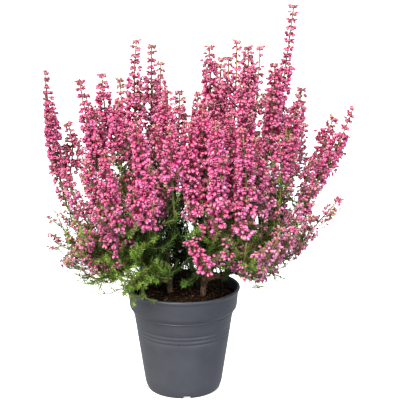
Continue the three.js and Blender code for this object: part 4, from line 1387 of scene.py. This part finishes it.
def plain_pattern(rings, tip=None):
    """A four-sided tube or bud from two rings of (depth, radius, half step)."""
    shape, along = bell_rings(rings)
    shape, along = [(0, 0, 0), *shape], [0.12, *along]
    ring = np.arange(BELL_SIDES) + 1
    after = np.roll(ring, -1)
    high, high_after = ring + BELL_SIDES, after + BELL_SIDES
    sides = [(0 * ring, after, ring), (ring, after, high), (after, high_after, high)]
    around = [0, *np.tile(np.linspace(-0.5, 0.5, BELL_SIDES), len(rings))]
    if tip:
        sides.append((high, high_after, np.full(BELL_SIDES, len(shape))))
        shape.append((0, 0, tip))
        along.append(0.3 + 0.7 * tip)
        around.append(0)
    faces = np.concatenate([np.stack(side, -1) for side in sides])
    return np.array(shape, float), faces, np.array(along), np.array(around)


bell = bell_pattern()
bud = plain_pattern([(0.22, 0.34, 0), (0.64, 0.31, 0.5)], 0.95)
inner_bell = plain_pattern([(0.42, 0.38, 0), (1.0, 0.27, 0.5)])
print("triangles of a bell, a bud, an inner bell:", *(len(p[1]) for p in (bell, bud, inner_bell)))

# %% [markdown]
# ## How a spike grows
# The photograph shows that the spikes are not alike: some end in a long open tip of buds, some
# are thin and some full, and some are bare at the foot. Those are listed by the spike's number,
# and every other spike takes the common value. Bells deep in the bush are left out, because few
# flowers open in the dark, and this also saves triangles for the spikes that can be seen.

# %% How each spike grows
# The stretch at the tip, in mm, where the rings of buds stand apart
OPEN_TIPS = {1: 16, 2: 26, 11: 28, 12: 32, 14: 14, 15: 16, 18: 18}
OPEN_TIPS |= {27: 14, 28: 32, 30: 44, 31: 14, 38: 24, 41: 60, 43: 16}
# The share of branchlets that a spike carries. Over 1 its rings stand closer too
FULLNESS = {6: 1.2, 25: 1.6, 27: 0.85, 28: 0.62, 30: 0.5, 33: 0.75, 34: 0.7, 36: 0.75, 41: 0.85}
# The stretch at the foot, in mm, without flowers
BARE_FEET = {3: 12, 5: 20, 6: 20, 7: 12, 8: 27, 9: 30, 33: 20, 34: 40}
# What every other spike has, and the side spike of a forked one
COMMON_TIP, FORK_TIP, COMMON_FOOT = 7, 8, 2
OPEN_STEP, RING_STEP = 7.0, 4.55
BRANCHLETS = 4
OPEN_BRANCHLET, BRANCHLET_LENGTH = 1.2, 3.8
BRANCHLET_RADIUS, SPRIG_STALK_RADIUS = 0.5, 0.32
RIPE_LENGTH = 34.0
YOUNG_RIPENESS = 0.3
# Where plain inner bells do, where most bells are left out, and where there are none at all
INNER_LIGHT = 0.9
DARK_LIGHT, DARK_HEIGHT, DARK_SHARE = 0.36, 245.0, 0.85
LOWEST_BLOOM = 136.0
FADED_TINTS = (0.05, 0.14, 0.2, 0.86, 0.95)
FADED_SHARE = 0.6
TIP_TINT = 0.22
BOX_MARGIN = 2.4
MOST_SHIFT = 4.0
LOBE_REACH = 1.05
STALK_SHADE = 0.45
OPEN_BELL, CLOSED_BUD, INNER_BELL = 0, 1, 2


def bloom_at(place):
    """The tint of the bells at a place, and how much neighbours differ. Low is faded, high pale."""
    _, y, z = place
    front = np.clip(-y / 100, -0.6, 1)
    return 0.58 - 0.08 * between(z, 150, 380) + 0.14 * front, 0.09 + 0.1 * fading_at(place)


class Blooms:
    """Gathers the bells of one limb, each with its place, its hanging way, size and tint."""

    def __init__(self):
        self.roots, self.ways, self.sizes, self.shades = [], [], [], []
        self.kinds, self.rods = [], []

    def umbel(self, draw, place, out, lift, count, size, shade, spread, fall, closed=0.0):
        """A few bells on stalks from the end of a branchlet. They spread, and most nod."""
        spread_side = unit(np.cross(lift, out))
        light = light_at(place)
        is_dark = light < DARK_LIGHT and place[2] < DARK_HEIGHT
        if is_dark and draw.uniform() < DARK_SHARE or place[2] < LOWEST_BLOOM:
            return
        is_inner = light < INNER_LIGHT and closed < 0.05
        for j in range(count):
            open_kind = INNER_BELL if is_inner else OPEN_BELL
            is_bud = not is_inner and draw.uniform() < closed
            self.kinds.append(CLOSED_BUD if is_bud else open_kind)
            aside = (j - (count - 1) / 2) * (2.3 / count) + draw.normal(0, 0.18)
            hang = out * math.cos(aside) + spread_side * math.sin(aside)
            hang = unit(hang + lift * draw.uniform(*fall))
            own_size = size * draw.uniform(0.88, 1.1)
            self.roots.append(place + hang * own_size * STALK_SHARE)
            self.ways.append(hang)
            self.sizes.append(own_size)
            if draw.uniform() < FADED_SHARE * fading_at(place):
                self.shades.append(draw.choice(FADED_TINTS) + draw.normal(0, 0.05))
            else:
                self.shades.append(shade + draw.normal(0, spread))

    def lay(self, bells, stalks):
        """Lays the bells and branchlets. Bells that would pass the solids' box move in, or go."""
        roots, ways, sizes, kinds = map(np.array, (self.roots, self.ways, self.sizes, self.kinds))
        shades = np.clip(self.shades, 0.03, 0.97)
        ends = roots + ways * sizes[:, None] * LOBE_REACH
        roots += np.clip(box_low + BOX_MARGIN - np.minimum(roots, ends), 0, MOST_SHIFT)
        roots -= np.clip(np.maximum(roots, ends) - box_high + BOX_MARGIN, 0, MOST_SHIFT)
        ends = roots + ways * sizes[:, None] * LOBE_REACH
        inside = inside_box(ends, BOX_MARGIN - 0.2) & inside_box(roots, BOX_MARGIN - 0.2)
        for kind, pattern in enumerate((bell, bud, inner_bell)):
            kept = inside & (kinds == kind)
            bells.lay(pattern, roots[kept], frames_along(ways[kept]), sizes[kept], shades[kept])
        starts, ends, radii = (np.array(v) for v in zip(*self.rods, strict=True))
        rods(stalks, starts, ends, radii, STALK_SHADE)
        return int(inside.sum())


def grow_spike(line, open_length, draw, blooms, branchlets=BRANCHLETS, fullness=1.0, bare=2.0):
    """Sets rings of branchlets with bells on a line, from its tip down to its bare foot."""
    own_tint = draw.normal(0, 0.04)
    from_tip, ring_turn = 1.0, draw.uniform(0, 3)
    swell_turn = draw.uniform(0, 6)
    thinning = min(30, line.length / 3)
    while from_tip < line.length - bare:
        is_open = from_tip < open_length
        ripe = 0.0 if is_open else min(1.0, YOUNG_RIPENESS + (from_tip - open_length) / RIPE_LENGTH)
        # Branchlets are longer in some stretches of a spike than in others
        swell = 1 + 0.2 * math.sin(from_tip / 7.3 + swell_turn) + 0.1 * math.sin(from_tip / 3.1)
        crowd = np.clip((line.length - bare - from_tip) / thinning, 0.4, 1) * fullness
        place, way, side, across = (v[0] for v in line.at(line.length - from_tip))
        lift = unit(way + UP)
        shade, spread = bloom_at(place)
        faded, low = fading_at(place), between(place[2], 195, 145)
        ripening = 0.28 * faded + 0.12 * low + own_tint - 0.36 * math.exp(-from_tip / 26)
        shade += ripening + draw.normal(0, 0.03)
        size = BELL_LENGTH * (0.78 + 0.22 * ripe) * (1 - 0.24 * faded) * (1 - 0.18 * low)
        # Bells nod on an upright spike, and turn to the light on one that leans out
        level = 1.2 * (1 - way[2])
        fall = (-1.4 + level, 0.15 + 2 * level)
        closed = 0.8 * math.exp(-from_tip / 12)
        for k in range(branchlets):
            if draw.uniform() > 0.97 * crowd * (1 - 0.35 * faded) + 0.2 * is_open:
                continue
            angle = ring_turn + k * 2 * math.pi / branchlets + draw.normal(0, 0.25)
            out = side * math.cos(angle) + across * math.sin(angle)
            node = place + way * draw.uniform(-2.2, 2.2) * min(1, 1.5 * ripe)
            length = (OPEN_BRANCHLET + (BRANCHLET_LENGTH - OPEN_BRANCHLET) * ripe) * swell
            length *= draw.uniform(0.75, 1.25)
            count = int(round((2.5 + 0.7 * ripe) * draw.uniform(0.8, 1.2)))
            end = node + length * unit(out + way * draw.uniform(0.4, 1.0))
            blooms.rods.append((node, end, BRANCHLET_RADIUS))
            blooms.umbel(draw, end, out, lift, count, size, shade, spread, fall, closed)
        step = OPEN_STEP - (OPEN_STEP - RING_STEP) * min(1, 1.6 * ripe)
        from_tip += step * draw.uniform(0.9, 1.1) / max(1, fullness)
        ring_turn += math.pi / 4 + draw.normal(0, 0.12)
    place, way, side, across = (v[0] for v in line.at(line.length - 2))
    size, lift, fall = BELL_LENGTH * 0.7, unit(way + UP), (-0.9, 0.7)
    for out in (side, across, -side, -across):
        blooms.umbel(draw, place, out, lift, 2, size, TIP_TINT, 0.1, fall, closed=0.7)


def grow_sprig(line, draw, blooms, first=0.35, spacing=3.8):
    """Sets small umbels along the outer part of a side twig."""
    tip = line.places[-1]
    size = BELL_LENGTH * (0.84 - 0.26 * max(between(tip[2], 215, 155), fading_at(tip)))
    for distance in np.arange(line.length * first, line.length + 0.5, spacing):
        place, way, side, across = (v[0] for v in line.at(distance))
        shade, spread = bloom_at(place)
        shade += draw.normal(0.03, 0.08)
        for _ in range(2):
            angle = draw.uniform(0, 2 * math.pi)
            out = side * math.cos(angle) + across * math.sin(angle)
            end, lift = place + 1.6 * unit(out + way), unit(way + UP)
            blooms.rods.append((place, end, SPRIG_STALK_RADIUS))
            blooms.umbel(draw, end, out, lift, 2, size, shade, spread, fall=(-1.0, 0.3))


# %% [markdown]
# The bell itself is a thin waxy petal tube. Its finish reads the shade of each bell, from the tan
# of a faded one through brick rose to clear pink, and pales it towards the lobes, where the tube
# is thinnest. That paling is partly the lobes' own lighter colour and partly painted light: the
# highlight on each bell and the light through the thin tube. The calyx and stalk run from olive tan
# to a dusty rose with their bell. Waxy petals have a small sharp shine, so the roughness is near
# 0.3.

# %% Waxy petal
petal, tree, shader = new_finish(
    "waxy bell petal", {"Roughness": 0.28, "IOR": 1.45, "Specular IOR Level": 0.5}
)
along = add_node(tree, "ShaderNodeAttribute", {"attribute_name": "along"}).outputs["Fac"]
bloom_stops = [(0.0, "#b8945f"), (0.14, "#c2747c"), (0.32, "#c23e6c")]
bloom_stops += [(0.55, "#cf2c76"), (0.8, "#e2589c"), (1.0, "#f2aacd")]
# Paler towards the lobes: partly their own colour, partly a painted highlight and painted light
# through the thin tube
mouth = add_node(
    tree,
    "ShaderNodeMapRange",
    {"From Min": 0.6, "From Max": 1.0, "To Min": 0.0, "To Max": 0.6},
    {"Value": along},
)
pale_links = {MIX_SHARE: mouth.outputs["Result"], MIX_FIRST: by_shade(tree, bloom_stops)}
pale = add_node(tree, "ShaderNodeMix", {"data_type": "RGBA"}, pale_links)
pale.inputs[MIX_SECOND].default_value = linear("#f6b7d1")
is_petal = add_node(
    tree, "ShaderNodeMapRange", {"From Min": 0.14, "From Max": 0.3}, {"Value": along}
)
stalk_stops = [(0.0, "#94814f"), (0.3, "#946040"), (0.6, "#83404a"), (1.0, "#a86a72")]
whole_links = {MIX_SHARE: is_petal.outputs["Result"], MIX_FIRST: by_shade(tree, stalk_stops)}
whole_links[MIX_SECOND] = pale.outputs[MIXED]
whole = add_node(tree, "ShaderNodeMix", {"data_type": "RGBA"}, whole_links)
tree.links.new(whole.outputs[MIXED], shader.inputs["Base Color"])

# %% [markdown]
# ## Growing the flowers
# Each limb carries its own spikes, so its bells are one piece that rides with them. A spike also
# has a few side spikes and sprigs, which make its outline uneven, and short leaves on its stem.
# Twigs at the top of the bush and on the faded flanks carry some sprigs as well.

# %% Growing the flowers of each limb
SIDE_SPIKES = TwigHabit(34.0, (18.0, 34.0), (1.2, 2.2), 0.45)
SPRIGS = TwigHabit(30.0, (8.0, 16.0), (0.8, 1.7))
AXIS_RADII = (0.95, 0.9, 0.75)
SIDE_SPIKE_RADII, SPRIG_RADII = (0.5, 0.35), (0.4, 0.25)
YOUNG_AXIS, RIPE_AXIS = 0.7, 0.34
SLIM_BELOW = 75.0
HIGH_TIP = 390.0
INNER_BLOOM_LENGTH = 36.0
SPIKE_LEAF_SPACING, SPIKE_LEAF_LENGTH, SPIKE_LEAF_ROOT = 4.6, 2.8, 0.5
TWIG_BLOOM_HEIGHT, FRONT_BLOOM_HEIGHT = 135.0, 175.0
bell_count = 0

for index, limb in enumerate(leafy_names):
    draw = np.random.default_rng(300 + index)
    bells, stalks, leaves, blooms = Tray(), Tray(), Tray(), Blooms()
    names = limb_spikes[limb]
    for name, which, line in ((n, k, line) for n in names for k, line in enumerate(spikes[n])):
        number, is_fork = int(name[-2:]), which > 0
        if not inside_box(line.places[-1], 2):
            # The last bells would pass the solids' box here, so the line ends a little sooner
            line = StemLine(line.places[: -1 if line.places[-1][2] > HIGH_TIP else -2])
        open_length = FORK_TIP if is_fork else OPEN_TIPS.get(number, COMMON_TIP)
        bare = COMMON_FOOT if is_fork else BARE_FEET.get(number, COMMON_FOOT)
        fullness = FULLNESS.get(number, 1.0)
        grow_spike(line, open_length, draw, blooms, BRANCHLETS, fullness, bare)
        slim = min(1, line.length / SLIM_BELOW)
        axis = StemLine(line.places, SKIN_STEP)
        is_young = line.length - axis.marks < open_length + 10
        shades = np.where(is_young, YOUNG_AXIS, RIPE_AXIS)[:, None]
        stem_skin(stalks, axis, [slim * r for r in AXIS_RADII], 4, shades)
        full = line.length - open_length - 12
        spacing = SIDE_SPIKES.spacing / fullness / (1 + 1.2 * fading_at(line.places[0]))
        for side_spike in twigs_on(line, draw, 8 + bare, full - 30, SIDE_SPIKES, spacing):
            stem_skin(stalks, side_spike, SIDE_SPIKE_RADII, 3, 0.4)
            grow_spike(side_spike, 5, draw, blooms, 3)
        for sprig in twigs_on(line, draw, 6 + bare, full, SPRIGS, SPRIGS.spacing / fullness):
            stem_skin(stalks, sprig, SPRIG_RADII, 3, 0.35)
            grow_sprig(sprig, draw, blooms)
        # Painted light and shade: the spike's leaves take their tint from the light at its foot
        tint, end = 0.08 + 0.4 * light_at(line.places[0]), line.length * 0.9
        root, length = SPIKE_LEAF_ROOT, SPIKE_LEAF_LENGTH
        set_needles(leaves, line, draw, 0, end, SPIKE_LEAF_SPACING, tint, root, length)
    for stem in limb_inner[limb]:
        top = StemLine(stem.at(np.linspace(stem.length - INNER_BLOOM_LENGTH, stem.length, 8))[0])
        grow_spike(top, COMMON_TIP, draw, blooms)
    for twig in limb_twigs[limb]:
        x, _, z = tip = twig.places[-1]
        lowest = FRONT_BLOOM_HEIGHT if -62 < x < 20 else TWIG_BLOOM_HEIGHT
        share = np.clip((z - lowest) / 90, 0, 0.2) + 0.4 * between(z, 128, 148) * fading_at(tip)
        if twig.length > 10 and draw.uniform() < share:
            grow_sprig(twig, draw, blooms, 0.5)
    bell_count += blooms.lay(bells, stalks)
    where = limb.replace("leafy_stems_", "")
    bells.piece("bells_" + where, petal, "flowers", names)
    stalks.piece("flower_stalks_" + where, young_stem, "flowers")
    leaves.piece("spike_leaves_" + where, leaf, "leaves")
print(bell_count, "bells")

# %% [markdown]
# ## Size
# The dressed plant must be as large as its solids, no more. The two boxes are printed side by
# side, so that they can be compared.

# %% The size of the dressed plant
low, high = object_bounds()
dressed_low, dressed_high = np.array(low) * METRE, np.array(high) * METRE
print("dressed from", dressed_low.round(1), "to", dressed_high.round(1), "mm")
print("triangles", sum(triangles_made.values()), "largest", max(triangles_made.values()))
